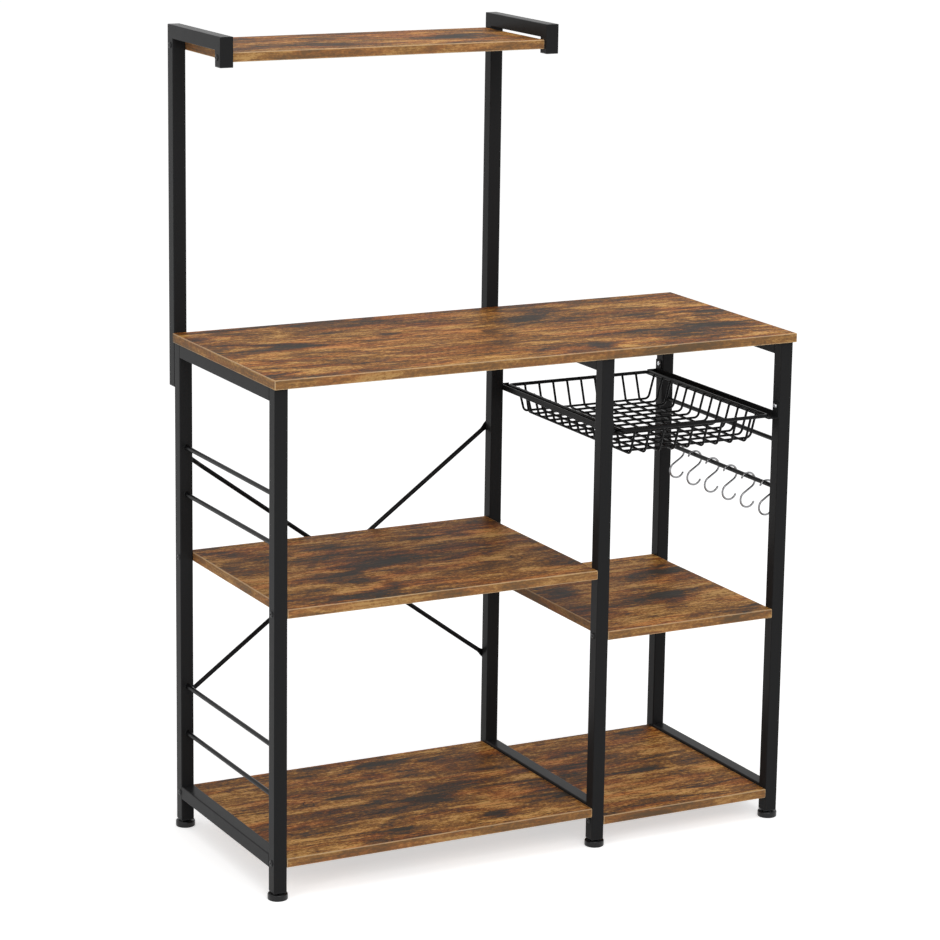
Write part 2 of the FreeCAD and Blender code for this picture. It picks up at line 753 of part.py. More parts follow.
def fastener(name, radius, length, head, head_thick):
    whole = doc.addObject("Part::MultiFuse", name)
    whole.Shapes = [
        round_bar(name + "_head", ROUND_SIDES, head + " / 2", head_thick, "0", "0",
                  "-" + head_thick),
        round_bar(name + "_shank", ROUND_SIDES, radius, length, "0", "0", "0"),
    ]
    return whole


def bolt_pattern(name, length):
    return fastener(name, "bolt_radius", length, "bolt_head", "bolt_head_thick")


def both_ends(left, right, along, height):
    """Bolts driven inward from the outer faces of the two frames that hold a board."""
    return [(left + "_x - tube / 2", along, height, FACING_RIGHT),
            (right + "_x + tube / 2", along, height, FACING_LEFT)]


shelf_bolts = []
for left, right, heights in (("left", "middle", LEFT_BOARDS), ("middle", "right", RIGHT_BOARDS)):
    for height in heights:
        shelf_bolts += both_ends(left, right, "front_post_y", height)
        shelf_bolts += both_ends(left, right, "rear_post_y + rear_bolt_shift", height)
top_height = "top_shelf_height + board / 2"
top_shelf_bolts = both_ends("left", "middle", "drop_y + drop_bolt_shift", top_height)
top_shelf_bolts += both_ends("left", "middle", "hutch_y", top_height)
board_bolt = bolt_pattern("board_bolt_pattern", "tube + bolt_bite")
group("shelf_bolts", board_bolt, shelf_bolts)
group("top_shelf_bolts", board_bolt, top_shelf_bolts)
group("worktop_bolts", bolt_pattern("worktop_bolt_pattern", "tube + worktop_bolt_bite"),
      [(across, "front + " + along, "frame_top - tube", UPRIGHT)
       for across, along in worktop_spots])
group("hutch_bolts", bolt_pattern("hutch_bolt_pattern", "tube + wall_bite"),
      [(side + "_x", "hutch_y + tube / 2", height, FACING_FRONT)
       for side in ("left", "middle") for height in HUTCH_BOLTS])
group("brace_bolts", bolt_pattern("brace_bolt_pattern", "brace_tab_thick + wall_bite"),
      [(side + "_x", "tab_y + brace_tab_thick", height, FACING_FRONT)
       for side in ("left", "middle") for height in BRACE_BOLTS])
runner_screw = fastener("runner_screw_pattern", "screw / 2", "runner_thick + screw_bite",
                        "screw_head", "screw_head_thick")
screw_spots = []
for spot in ("front_post_y", "rear_post_y"):
    screw_spots.append(("middle_x + tube / 2 + runner_thick", spot, "screw_z", FACING_LEFT))
    screw_spots.append(("right_x - tube / 2 - runner_thick", spot, "screw_z", FACING_RIGHT))
group("runner_screws", runner_screw, screw_spots)

# Every piece has to be sound before it is written
sheet.clear("D1")
doc.recompute()
faulty = [item.Label for item in doc.Objects
          if "Invalid" in item.State or "Error" in item.State]
faulty += [piece.Label for piece in NODES
           if piece.Shape.isNull() or not piece.Shape.isValid()]
if faulty:
    raise RuntimeError("These did not build: " + ", ".join(faulty))
for piece in NODES:
    piece.Shape.exportStep("parts/%s.step" % piece.Label)
print("%d pieces written" % len(NODES))
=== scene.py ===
import math

import bmesh
import bpy
from mathutils import Matrix, Vector


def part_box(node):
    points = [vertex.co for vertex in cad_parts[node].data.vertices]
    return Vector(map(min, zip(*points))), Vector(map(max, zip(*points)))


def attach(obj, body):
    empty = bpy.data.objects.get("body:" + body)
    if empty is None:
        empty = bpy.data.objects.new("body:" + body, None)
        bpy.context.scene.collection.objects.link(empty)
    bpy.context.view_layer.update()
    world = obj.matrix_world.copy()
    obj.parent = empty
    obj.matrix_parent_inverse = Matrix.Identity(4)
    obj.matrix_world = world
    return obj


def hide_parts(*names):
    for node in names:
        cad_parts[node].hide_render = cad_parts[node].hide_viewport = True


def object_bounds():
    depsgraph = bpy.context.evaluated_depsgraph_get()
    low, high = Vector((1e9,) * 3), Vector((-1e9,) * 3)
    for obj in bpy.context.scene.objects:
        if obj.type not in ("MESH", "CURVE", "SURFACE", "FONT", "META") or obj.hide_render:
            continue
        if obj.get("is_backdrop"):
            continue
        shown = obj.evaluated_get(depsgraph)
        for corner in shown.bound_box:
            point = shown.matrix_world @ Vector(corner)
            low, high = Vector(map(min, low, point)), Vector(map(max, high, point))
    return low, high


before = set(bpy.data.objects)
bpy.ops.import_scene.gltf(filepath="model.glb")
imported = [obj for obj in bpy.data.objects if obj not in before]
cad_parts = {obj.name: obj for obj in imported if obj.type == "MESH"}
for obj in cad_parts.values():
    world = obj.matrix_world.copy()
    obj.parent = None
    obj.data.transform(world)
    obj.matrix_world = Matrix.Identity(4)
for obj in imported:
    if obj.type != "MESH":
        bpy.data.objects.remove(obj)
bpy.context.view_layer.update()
scene = bpy.context.scene


# Side frames and bracket frames
# Square steel tube, 22 mm on a side with rounded corners. It is cut to length, welded into
# three side frames and two mitred brackets, and powder coated a fine matt black.
TUBE_CORNER = 0.0018
TUBE_CORNER_STEPS = 4
TUBE_WALL = 0.0012
COAT_COLOUR = (0.017, 0.017, 0.0175, 1)
COAT_SHINE = 0.05
SMOOTH_BELOW = math.radians(35)


def clear_selection():
    """Leave edit mode and let go of everything."""
    if bpy.context.object and bpy.context.object.mode != "OBJECT":
        bpy.ops.object.mode_set(mode="OBJECT")
    bpy.ops.object.select_all(action="DESELECT")


def open_mesh(piece):
    """Open one piece in edit mode."""
    clear_selection()
    bpy.context.view_layer.objects.active = piece
    piece.select_set(True)
    bpy.ops.object.mode_set(mode="EDIT")


def pick(kind, test):
    """Select only the vertices, edges or faces of the open mesh that pass a test."""
    bpy.ops.mesh.select_mode(type=kind)
    bpy.ops.mesh.select_all(action="DESELECT")
    mesh = bmesh.from_edit_mesh(bpy.context.object.data)
    for item in {"VERT": mesh.verts, "EDGE": mesh.edges, "FACE": mesh.faces}[kind]:
        if test(item):
            item.select_set(True)
    mesh.select_flush_mode()
    bmesh.update_edit_mesh(bpy.context.object.data)


def runs_along(edge, axis):
    """True if an edge lies along one of the three axes."""
    run = edge.verts[1].co - edge.verts[0].co
    return abs(run[axis]) > 0.999 * run.length


def soften(piece):
    """Smooth the small roundings and keep the wide faces flat."""
    clear_selection()
    bpy.context.view_layer.objects.active = piece
    piece.select_set(True)
    bpy.ops.object.shade_smooth_by_angle(angle=SMOOTH_BELOW)
    bpy.ops.object.modifier_add(type="WEIGHTED_NORMAL")
    piece.modifiers[-1].keep_sharp = True
    bpy.ops.object.modifier_apply(modifier=piece.modifiers[-1].name)


def block(name, low, high):
    """A plain block between two corners, with its place in its mesh."""
    clear_selection()
    size = Vector(high) - Vector(low)
    bpy.ops.mesh.primitive_cube_add(size=1, location=Vector(low) + size / 2)
    piece = bpy.context.object
    piece.name = name
    piece.scale = size
    bpy.ops.object.transform_apply(location=True, rotation=True, scale=True)
    return piece


def new_material(name):
    """A new material, with its nodes and its links."""
    material = bpy.data.materials.new(name)
    material.use_nodes = True
    return material, material.node_tree.nodes, material.node_tree.links


def powder_coat(name, colour, shine):
    """Black coat with the fine pebbled skin of baked powder."""
    material, nodes, links = new_material(name)
    surface = nodes["Principled BSDF"]
    surface.inputs["Base Color"].default_value = colour
    surface.inputs["Specular IOR Level"].default_value = shine
    place = nodes.new("ShaderNodeTexCoord")
    pebble = nodes.new("ShaderNodeTexNoise")
    pebble.inputs["Scale"].default_value = 1400
    pebble.inputs["Detail"].default_value = 2
    cloud = nodes.new("ShaderNodeTexNoise")
    cloud.inputs["Scale"].default_value = 35
    gloss = nodes.new("ShaderNodeMapRange")
    gloss.inputs["To Min"].default_value = 0.26
    gloss.inputs["To Max"].default_value = 0.36
    relief = nodes.new("ShaderNodeBump")
    relief.inputs["Strength"].default_value = 0.18
    relief.inputs["Distance"].default_value = 0.0002
    links.new(place.outputs["Object"], pebble.inputs["Vector"])
    links.new(place.outputs["Object"], cloud.inputs["Vector"])
    links.new(cloud.outputs["Fac"], gloss.inputs["Value"])
    links.new(gloss.outputs["Result"], surface.inputs["Roughness"])
    links.new(pebble.outputs["Fac"], relief.inputs["Height"])
    links.new(relief.outputs["Normal"], surface.inputs["Normal"])
    return material


COAT = powder_coat("matt_black_powder_coat", COAT_COLOUR, COAT_SHINE)


def dress(piece, node, body, slot, *materials):
    """Give a finished piece its materials and let it stand for its node."""
    piece.data.materials.clear()
    for material in materials:
        piece.data.materials.append(material)
    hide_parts(node)
    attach(piece, body)


def mitre_point(low, high, along, normal):
    """The point on the tube's long side where a sloping cut ends."""
    across = 1 if along == 2 else 2
    point = (low + high) / 2
    point[along] = high[along] if normal[along] > 0 else low[along]
    point[across] = low[across] if normal[across] > 0 else high[across]
    return point


def square_tube(node, mitres=()):
    """A hollow tube as long as its node; each mitre is the normal of a sloping cut."""
    low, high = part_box(node)
    size = high - low
    along = max(range(3), key=lambda axis: size[axis])
    tube = block(node + "_tube", low, high)
    open_mesh(tube)
    pick("EDGE", lambda edge: runs_along(edge, along))
    bpy.ops.mesh.bevel(offset=TUBE_CORNER, segments=TUBE_CORNER_STEPS, affect="EDGES")
    pick("FACE", lambda face: abs(face.normal[along]) > 0.99)
    bpy.ops.mesh.inset(thickness=TUBE_WALL)
    bpy.ops.mesh.bridge_edge_loops()
    for normal in mitres:
        bpy.ops.mesh.select_all(action="SELECT")
        bpy.ops.mesh.bisect(plane_co=mitre_point(low, high, along, normal),
                            plane_no=normal, clear_outer=True)
        bpy.ops.mesh.bridge_edge_loops()
    soften(tube)
    dress(tube, node, "rack", "black_powder_coat", COAT)
    return tube


for side in ("left", "middle", "right"):
    for part in ("front_post", "rear_post", "top_rail", "bottom_rail"):
        square_tube(side + "_" + part)
for side in ("left", "right"):
    square_tube(side + "_hutch_upright", [(0, -1, 1)])
    square_tube(side + "_hutch_arm", [(0, 1, -1), (0, -1, -1)])
    square_tube(side + "_hutch_drop", [(0, 1, 1)])


# Boards
# Chipboard 15 mm thick, faced with rustic brown wood-print paper whose grain runs along the
# rack, with glued edge strips in the same print. Each is bolted between two frames.
BOARD_EASE = 0.0013
CHARCOAL = (0.023, 0.016, 0.009, 1)
SMOKED = (0.058, 0.026, 0.008, 1)
BROWN = (0.128, 0.048, 0.008, 1)
AMBER = (0.235, 0.090, 0.012, 1)
HONEY = (0.390, 0.168, 0.028, 1)
STRAW = (0.640, 0.360, 0.110, 1)
WOOD_TONES = ((0.04, CHARCOAL), (0.20, SMOKED), (0.38, BROWN), (0.58, AMBER), (0.80, HONEY),
              (1.0, STRAW))
CRACK_TONE = -0.45
SCRATCH_TONE = 0.36
PATCH_TONE = -0.58
KNOT_RADIUS = (0.012, 0.018)
KNOT_RING = 0.32
KNOT_TONE = 1.2 * CRACK_TONE
CLOUD_WEIGHT = 1.9
BAND_WEIGHT = 1.7
STREAK_WEIGHT = 1.3
MOTTLE_WEIGHT = 1.9
FIBRE_WEIGHT = 0.5
RUST_TINT = (1.0, 0.74, 0.62, 1)
PAPER_SHINE = 0.12
PAPER_BROWN = (0.260, 0.165, 0.090, 1)
# Pale tone for the eased arrises of the boards: a painted highlight line along every board edge.
PAINTED_ARRIS_HIGHLIGHT = (0.560, 0.420, 0.270, 1)


def wood_print(name, ground, contrast=1.0, patches=(), knots=(), faded=0.0, fade=PAPER_BROWN):
    """Rustic wood print: one tone from charcoal to straw, mixed from layers of grain.

    Patches are places, half sizes and depths of dark stains, and knots the places of knots.
    """
    first_colour, second_colour, mixed_colour = 6, 7, 2
    material, nodes, links = new_material(name)
    surface = nodes["Principled BSDF"]
    grain_map = nodes.new("ShaderNodeUVMap")
    grain_map.uv_map = "grain"
    grain = grain_map.outputs["UV"]

    def texture(along, across, detail=4, roughness=0.55, twist=0.0):
        """Noise with so many spots to the metre along the grain and across it."""
        stretch = nodes.new("ShaderNodeMapping")
        stretch.inputs["Scale"].default_value = (along, across, 1)
        links.new(grain, stretch.inputs["Vector"])
        noise = nodes.new("ShaderNodeTexNoise")
        noise.noise_dimensions = "2D"
        noise.inputs["Scale"].default_value = 1
        noise.inputs["Detail"].default_value = detail
        noise.inputs["Roughness"].default_value = roughness
        noise.inputs["Distortion"].default_value = twist
        links.new(stretch.outputs["Vector"], noise.inputs["Vector"])
        return noise.outputs["Fac"]

    def math_node(kind, *values):
        """One operation on numbers or on what other nodes give."""
        node = nodes.new("ShaderNodeMath")
        node.operation = kind
        for value, socket in zip(values, node.inputs):
            if isinstance(value, (int, float)):
                socket.default_value = value
            else:
                links.new(value, socket)
        return node.outputs["Value"]

    def level(value, low, high, to_low=0.0, to_high=1.0):
        """A value from one range laid over another, and held at its ends."""
        scaled = nodes.new("ShaderNodeMapRange")
        for setting, number in (("From Min", low), ("From Max", high),
                                ("To Min", to_low), ("To Max", to_high)):
            scaled.inputs[setting].default_value = number
        links.new(value, scaled.inputs["Value"])
        return scaled.outputs["Result"]

    def spot(place, half_sizes):
        """1 in the middle of an oval, down to 0 at its rim."""
        frame_of_spot = nodes.new("ShaderNodeMapping")
        frame_of_spot.vector_type = "TEXTURE"
        frame_of_spot.inputs["Location"].default_value = (*place, 0)
        frame_of_spot.inputs["Scale"].default_value = (*half_sizes, 1)
        links.new(grain, frame_of_spot.inputs["Vector"])
        falloff = nodes.new("ShaderNodeTexGradient")
        falloff.gradient_type = "SPHERICAL"
        links.new(frame_of_spot.outputs["Vector"], falloff.inputs["Vector"])
        return falloff.outputs["Fac"]

    clouds = texture(5, 15, detail=8, roughness=0.62, twist=0.7)
    bands = texture(9, 48, detail=7, roughness=0.66, twist=0.9)
    streaks = texture(22, 170, detail=6, roughness=0.68, twist=0.3)
    fibres = texture(80, 900, detail=3)
    mottle = texture(130, 260, detail=5, roughness=0.75)
    tone = ground
    for layer, weight in ((clouds, CLOUD_WEIGHT), (bands, BAND_WEIGHT), (streaks, STREAK_WEIGHT),
                          (mottle, MOTTLE_WEIGHT), (fibres, FIBRE_WEIGHT)):
        swing = contrast * weight / 2
        tone = math_node("ADD", tone, level(layer, 0, 1, -swing, swing))

    ragged = texture(11, 48, detail=9, roughness=0.72, twist=0.8)
    stain = level(clouds, 0.33, 0.20)
    for x, y, half_length, half_width, depth in patches:
        stain = math_node("MAXIMUM", stain,
                          math_node("MULTIPLY", spot((x, y), (half_length, half_width)), depth))
    frayed = math_node("ADD", stain, level(ragged, 0.25, 0.75, -0.55, 0.55))
    inside = level(stain, 0.02, 0.16)
    dark = math_node("MULTIPLY", level(frayed, 0.05, 0.75), inside)
    tone = math_node("ADD", tone, math_node("MULTIPLY", dark, PATCH_TONE))

    cracks = level(texture(9, 260, detail=7, roughness=0.6, twist=0.3), 0.335, 0.29)
    scratches = level(texture(6, 330, detail=6, roughness=0.55), 0.665, 0.71)
    tone = math_node("ADD", tone, math_node("MULTIPLY", cracks, CRACK_TONE))
    tone = math_node("ADD", tone, math_node("MULTIPLY", scratches, SCRATCH_TONE))
    for place in knots:
        ring = math_node("ABSOLUTE", math_node("SUBTRACT", spot(place, KNOT_RADIUS), KNOT_RING))
        tone = math_node("ADD", tone, math_node("MULTIPLY", level(ring, 0.10, 0.03), KNOT_TONE))

    print_tones = nodes.new("ShaderNodeValToRGB")
    first, last = print_tones.color_ramp.elements
    first.position, first.color = WOOD_TONES[0]
    last.position, last.color = WOOD_TONES[-1]
    for position, colour in WOOD_TONES[1:-1]:
        print_tones.color_ramp.elements.new(position).color = colour
    links.new(tone, print_tones.inputs["Fac"])
    rust = nodes.new("ShaderNodeMix")
    rust.data_type = "RGBA"
    rust.blend_type = "MULTIPLY"
    rust.inputs[second_colour].default_value = RUST_TINT
    links.new(level(texture(5, 30, detail=5, roughness=0.6, twist=0.4), 0.46, 0.62),
              rust.inputs["Factor"])
    links.new(print_tones.outputs["Color"], rust.inputs[first_colour])
    paler = nodes.new("ShaderNodeMix")
    paler.data_type = "RGBA"
    paler.inputs["Factor"].default_value = faded
    paler.inputs[second_colour].default_value = fade
    links.new(rust.outputs[mixed_colour], paler.inputs[first_colour])
    links.new(paler.outputs[mixed_colour], surface.inputs["Base Color"])
    links.new(level(streaks, 0.3, 0.7, 0.52, 0.64), surface.inputs["Roughness"])
    surface.inputs["Specular IOR Level"].default_value = PAPER_SHINE
    relief = nodes.new("ShaderNodeBump")
    relief.inputs["Strength"].default_value = 0.25
    relief.inputs["Distance"].default_value = 0.0002
    links.new(math_node("ADD", fibres, streaks), relief.inputs["Height"])
    links.new(relief.outputs["Normal"], surface.inputs["Normal"])
    return material


EDGE_STRIP = wood_print("wood_print_edge_strip", 0.60, contrast=0.75, faded=0.45)
# Print for the eased arrises, paled towards a light tone: a painted highlight along the board
# edges.
PAINTED_HIGHLIGHT_ARRIS_PRINT = wood_print("wood_print_painted_arris_highlight", 0.9, faded=0.6, fade=PAINTED_ARRIS_HIGHLIGHT)


def map_grain(piece, start):
    """Lay the grain map in metres: along the rack on faces, along the strip on edges."""
    grain = piece.data.uv_layers.new(name="grain")
    for face in piece.data.polygons:
        across = max(range(3), key=lambda axis: abs(face.normal[axis]))
        first, second = {2: (0, 1), 1: (0, 2), 0: (1, 2)}[across]
        for corner in face.loop_indices:
            place = piece.data.vertices[piece.data.loops[corner].vertex_index].co
            grain.data[corner].uv = (place[first] + start, place[second] + start)
    piece.data.uv_layers.active = grain


def board(node, start, ground, patches, knots=()):
    """A faced board with eased edges and edge strips; patches and knots are in its own place."""
    low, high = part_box(node)
    piece = block(node + "_board", low, high)
    open_mesh(piece)
    bpy.ops.mesh.select_all(action="SELECT")
    bpy.ops.mesh.bevel(offset=BOARD_EASE, segments=2, affect="EDGES")
    soften(piece)
    stains = [(x + start, y + start, *sizes) for x, y, *sizes in patches]
    rings = [(x + start, y + start) for x, y in knots]
    face_print = wood_print(node + "_wood_print", ground, patches=stains, knots=rings)
    dress(piece, node, "rack", "rustic_board", face_print, EDGE_STRIP, PAINTED_HIGHLIGHT_ARRIS_PRINT)
    # Flat tops and bottoms take the face print, upright faces the edge strip, and the sloping arris
    # faces a paler print that is a painted highlight line.
    for face in piece.data.polygons:
        steepest = max(abs(part) for part in face.normal)
        if abs(face.normal.z) > 0.99:
            face.material_index = 0
        elif steepest > 0.99:
            face.material_index = 1
        else:
            face.material_index = 2
    map_grain(piece, start)
    return piece


board("worktop", 0.0, 0.59,
      [(0.106, 0.070, 0.075, 0.040, 1.0), (0.181, 0.040, 0.085, 0.022, 0.9),
       (-0.334, 0.005, 0.060, 0.040, 1.0), (0.306, 0.025, 0.065, 0.028, 0.8),
       (0.416, 0.015, 0.060, 0.045, 0.7), (-0.024, -0.095, 0.045, 0.018, 0.8),
       (0.326, -0.115, 0.160, 0.080, 0.6), (0.126, -0.165, 0.050, 0.032, 1.0),
       (-0.144, 0.045, 0.045, 0.014, 0.7), (-0.434, -0.180, 0.060, 0.035, 0.8),
       (-0.094, 0.135, 0.130, 0.040, 0.5), (-0.200, 0.190, 0.330, 0.035, 0.6)])
board("left_middle_shelf", 1.7, 0.58,
      [(-0.171, -0.014, 0.095, 0.050, 1.0), (-0.200, -0.030, 0.190, 0.140, 0.45),
       (-0.235, 0.094, 0.045, 0.028, 0.8), (-0.067, 0.094, 0.055, 0.014, 0.9),
       (0.005, 0.090, 0.035, 0.030, 0.7), (-0.087, -0.042, 0.050, 0.012, 0.9),
       (-0.023, -0.088, 0.035, 0.009, 0.8), (-0.255, -0.058, 0.030, 0.025, 0.8),
       (-0.311, -0.182, 0.095, 0.030, 0.8), (-0.023, 0.030, 0.120, 0.045, 0.5)],
      [(0.025, -0.078)])
board("right_middle_shelf", 3.1, 0.58,
      [(0.311, -0.060, 0.070, 0.075, 0.8), (0.311, -0.100, 0.035, 0.040, 0.9),
       (0.391, 0.078, 0.080, 0.035, 0.8), (0.340, 0.054, 0.060, 0.030, 0.7),
       (0.271, -0.050, 0.060, 0.045, 0.7), (0.170, 0.020, 0.080, 0.060, 0.5)])
board("left_bottom_shelf", 4.3, 0.60,
      [(-0.119, 0.140, 0.075, 0.027, 1.0), (0.025, 0.130, 0.080, 0.032, 1.0),
       (-0.103, -0.046, 0.085, 0.040, 1.0), (-0.039, -0.020, 0.080, 0.035, 0.9),
       (-0.195, -0.028, 0.050, 0.016, 0.9), (-0.251, 0.016, 0.028, 0.009, 1.0),
       (-0.211, -0.160, 0.040, 0.010, 1.0), (-0.043, -0.162, 0.032, 0.026, 0.9),
       (0.085, -0.058, 0.045, 0.045, 0.7), (-0.239, 0.150, 0.080, 0.035, 0.6)],
      [(-0.303, 0.010)])
board("right_bottom_shelf", 5.9, 0.60,
      [(0.303, -0.030, 0.065, 0.020, 1.0), (0.391, 0.142, 0.060, 0.030, 0.8),
       (0.183, 0.000, 0.050, 0.040, 0.7), (0.231, 0.102, 0.070, 0.060, 0.45),
       (0.391, -0.018, 0.070, 0.030, 0.6), (0.351, -0.138, 0.095, 0.012, 0.8)])
board("top_shelf", 7.2, 0.50, [(0.0, 0.10, 0.12, 0.04, 0.8), (-0.25, 0.06, 0.10, 0.03, 0.7)])


# Round rods
# Round steel rod, 7.5 mm, cut to length and welded between the posts of the two end frames
# with a small fillet of weld at each end. One of them carries the hooks.
ROD_FACETS = 28
WELD_PROUD = 0.0011
WELD_LENGTH = 0.0016
WELD_FILLET = ((0, 1), (0.3, 0.45), (0.6, 0.15), (1, 0))
WIRE_COAT_COLOUR = (0.005, 0.005, 0.0055, 1)
WIRE_COAT_SHINE = 0.12
WIRE_COAT = powder_coat("satin_black_powder_coat", WIRE_COAT_COLOUR, WIRE_COAT_SHINE)


def turned(name, stations, facets):
    """A round piece along Z: a disc drawn out through stations of height and radius."""
    clear_selection()
    height, radius = stations[0]
    bpy.ops.mesh.primitive_circle_add(vertices=facets, radius=radius, fill_type="NGON",
                                      location=(0, 0, height))
    piece = bpy.context.object
    piece.name = name
    open_mesh(piece)
    bpy.ops.mesh.select_all(action="SELECT")
    for next_height, next_radius in stations[1:]:
        bpy.ops.mesh.extrude_region_move(
            TRANSFORM_OT_translate={"value": (0, 0, next_height - height)})
        share = next_radius / radius
        bpy.ops.transform.resize(value=(share, share, 1), center_override=(0, 0, next_height))
        height, radius = next_height, next_radius
    bpy.ops.mesh.select_all(action="SELECT")
    bpy.ops.mesh.normals_make_consistent(inside=False)
    stand(piece, (0, 0, 0))
    return piece


def stand(piece, place, direction=(0, 0, 1)):
    """Point a piece made along Z in a direction and set it down at a place."""
    clear_selection()
    bpy.context.view_layer.objects.active = piece
    piece.select_set(True)
    bpy.ops.object.transform_apply(location=True, rotation=True, scale=True)
    piece.rotation_mode = "QUATERNION"
    piece.rotation_quaternion = Vector(direction).to_track_quat("Z", "Y")
    piece.location = place
    bpy.ops.object.transform_apply(location=True, rotation=True, scale=True)


def centre(node):
    """The middle of a node's box."""
    low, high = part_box(node)
    return (low + high) / 2


for node in ("left_rod_lowest", "left_rod_lower", "left_rod_upper", "left_rod_highest",
             "right_guard_rod", "hook_rod"):
    low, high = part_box(node)
    radius = (high.x - low.x) / 2
    length = high.y - low.y
    fillet = [(along * WELD_LENGTH, radius + proud * WELD_PROUD) for along, proud in WELD_FILLET]
    far_fillet = [(length - height, width) for height, width in reversed(fillet)]
    rod = turned(node + "_bar", fillet + far_fillet, ROD_FACETS)
    stand(rod, (centre(node).x, low.y, centre(node).z), (0, 1, 0))
    soften(rod)
    dress(rod, node, "rack", "black_powder_coat", WIRE_COAT)


# Crossed braces
# Round steel rods behind the left bay, each end pressed flat into a bored tab that is bolted
# to a rear post. The falling one steps back between its ends to pass behind the other.
BOLT_HEAD_RADIUS = 0.005
BRACE_RADIUS = 0.00375
BRACE_FACETS = 24
TAB_HALF_WIDTH = 0.0065
TAB_HALF_THICK = 0.0012
TAB_PRESSED = 0.0021
TAB_BEYOND_BOLT = 0.008
TAB_END_STEPS = 6
NECK_START = 0.008
NECK_END = 0.024
NECK_STEPS = 5
STEP_START = 0.026
STEP_END = 0.048
STEP_COUNT = 7
BRACE_GAP = 0.0004
TAB_MARGIN = 0.0001


def ease(share):
    """A smooth change from 0 to 1."""
    return share * share * (3 - 2 * share)


def brace_end(steps_back):
    """Along one end from its tip: distance past the bolt, half width, half thickness, setback."""
    tab_setback = TAB_HALF_THICK
    rod_setback = 2 * TAB_HALF_THICK - BRACE_RADIUS
    rows = []
    for k in range(1, TAB_END_STEPS + 1):
        turn = math.pi / 2 * k / TAB_END_STEPS
        rows.append((-TAB_BEYOND_BOLT * math.cos(turn), TAB_HALF_WIDTH * math.sin(turn),
                     TAB_PRESSED, tab_setback))
    for k in range(NECK_STEPS + 1):
        share = ease(k / NECK_STEPS)
        rows.append((NECK_START + (NECK_END - NECK_START) * k / NECK_STEPS,
                     TAB_HALF_WIDTH + (BRACE_RADIUS - TAB_HALF_WIDTH) * share,
                     TAB_PRESSED + (BRACE_RADIUS - TAB_PRESSED) * share,
                     tab_setback + (rod_setback - tab_setback) * share))
    if steps_back:
        step = 2 * BRACE_RADIUS + BRACE_GAP
        for k in range(STEP_COUNT + 1):
            rows.append((STEP_START + (STEP_END - STEP_START) * k / STEP_COUNT, BRACE_RADIUS,
                         BRACE_RADIUS, rod_setback + step * ease(k / STEP_COUNT)))
    return rows


def brace(node, rise, steps_back):
    """A brace made along Z, its width along Y and its setback along X, then set at its slope."""
    low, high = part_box("brace_bolts")
    run = high.x - low.x - 2 * BOLT_HEAD_RADIUS
    climb = (high.z - low.z - 2 * BOLT_HEAD_RADIUS) * rise
    length = math.hypot(run, climb)
    rows = [(along - length / 2, *sizes) for along, *sizes in brace_end(steps_back)]
    rows += [(-along, *sizes) for along, *sizes in reversed(rows)]
    clear_selection()
    bpy.ops.mesh.primitive_circle_add(vertices=BRACE_FACETS, radius=1, fill_type="NGON")
    piece = bpy.context.object
    piece.name = node + "_bar"
    open_mesh(piece)
    bpy.ops.mesh.select_all(action="SELECT")
    old_height, old_width, old_thick, old_setback = (0, 1, 1, 0)
    for number, (height, half_width, half_thick, setback) in enumerate(rows):
        shift = (setback - old_setback, 0, height - old_height)
        if number == 0:
            bpy.ops.transform.translate(value=shift)
        else:
            bpy.ops.mesh.extrude_region_move(TRANSFORM_OT_translate={"value": shift})
        bpy.ops.transform.resize(value=(half_thick / old_thick, half_width / old_width, 1),
                                 center_override=(setback, 0, height))
        old_height, old_width, old_thick, old_setback = height, half_width, half_thick, setback
    flat_zone = length / 2 - NECK_START - TAB_MARGIN
    for side in (-1, 1):
        face = TAB_HALF_THICK * (1 + side)
        pick("VERT", lambda vert: abs(vert.co.z) > flat_zone and (vert.co.x - face) * side > 0)
        bpy.ops.transform.resize(value=(0, 1, 1), center_override=(face, 0, 0))
    bpy.ops.mesh.select_all(action="SELECT")
    bpy.ops.mesh.normals_make_consistent(inside=False)
    tab_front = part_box("rising_brace")[1].y - 2 * TAB_HALF_THICK
    stand(piece, ((low.x + high.x) / 2, tab_front, (low.z + high.z) / 2), (run, 0, climb))
    soften(piece)
    dress(piece, node, "rack", "black_powder_coat", WIRE_COAT)


brace("rising_brace", 1, False)
brace("falling_brace", -1, True)


# Basket runners
# An angle of bent sheet steel screwed between two posts on each side of the basket. Its ledge
# carries the rim, an upright tab at each end takes a screw, and a stop is turned up behind.
SHEET = 0.0015
SHEET_ARRIS = 0.0002
RUNNER_WALL = 0.010
RUNNER_TAB = 0.017
TAB_TURN = 0.004
BEND_OUTSIDE = 0.0021
BEND_INSIDE = 0.0006
STOP_HEIGHT = 0.009
STOP_AHEAD = 0.0018
TOUCH = 0.00001


def near(value, place):
    """True if a coordinate lies at a place."""
    return abs(value - place) < TOUCH


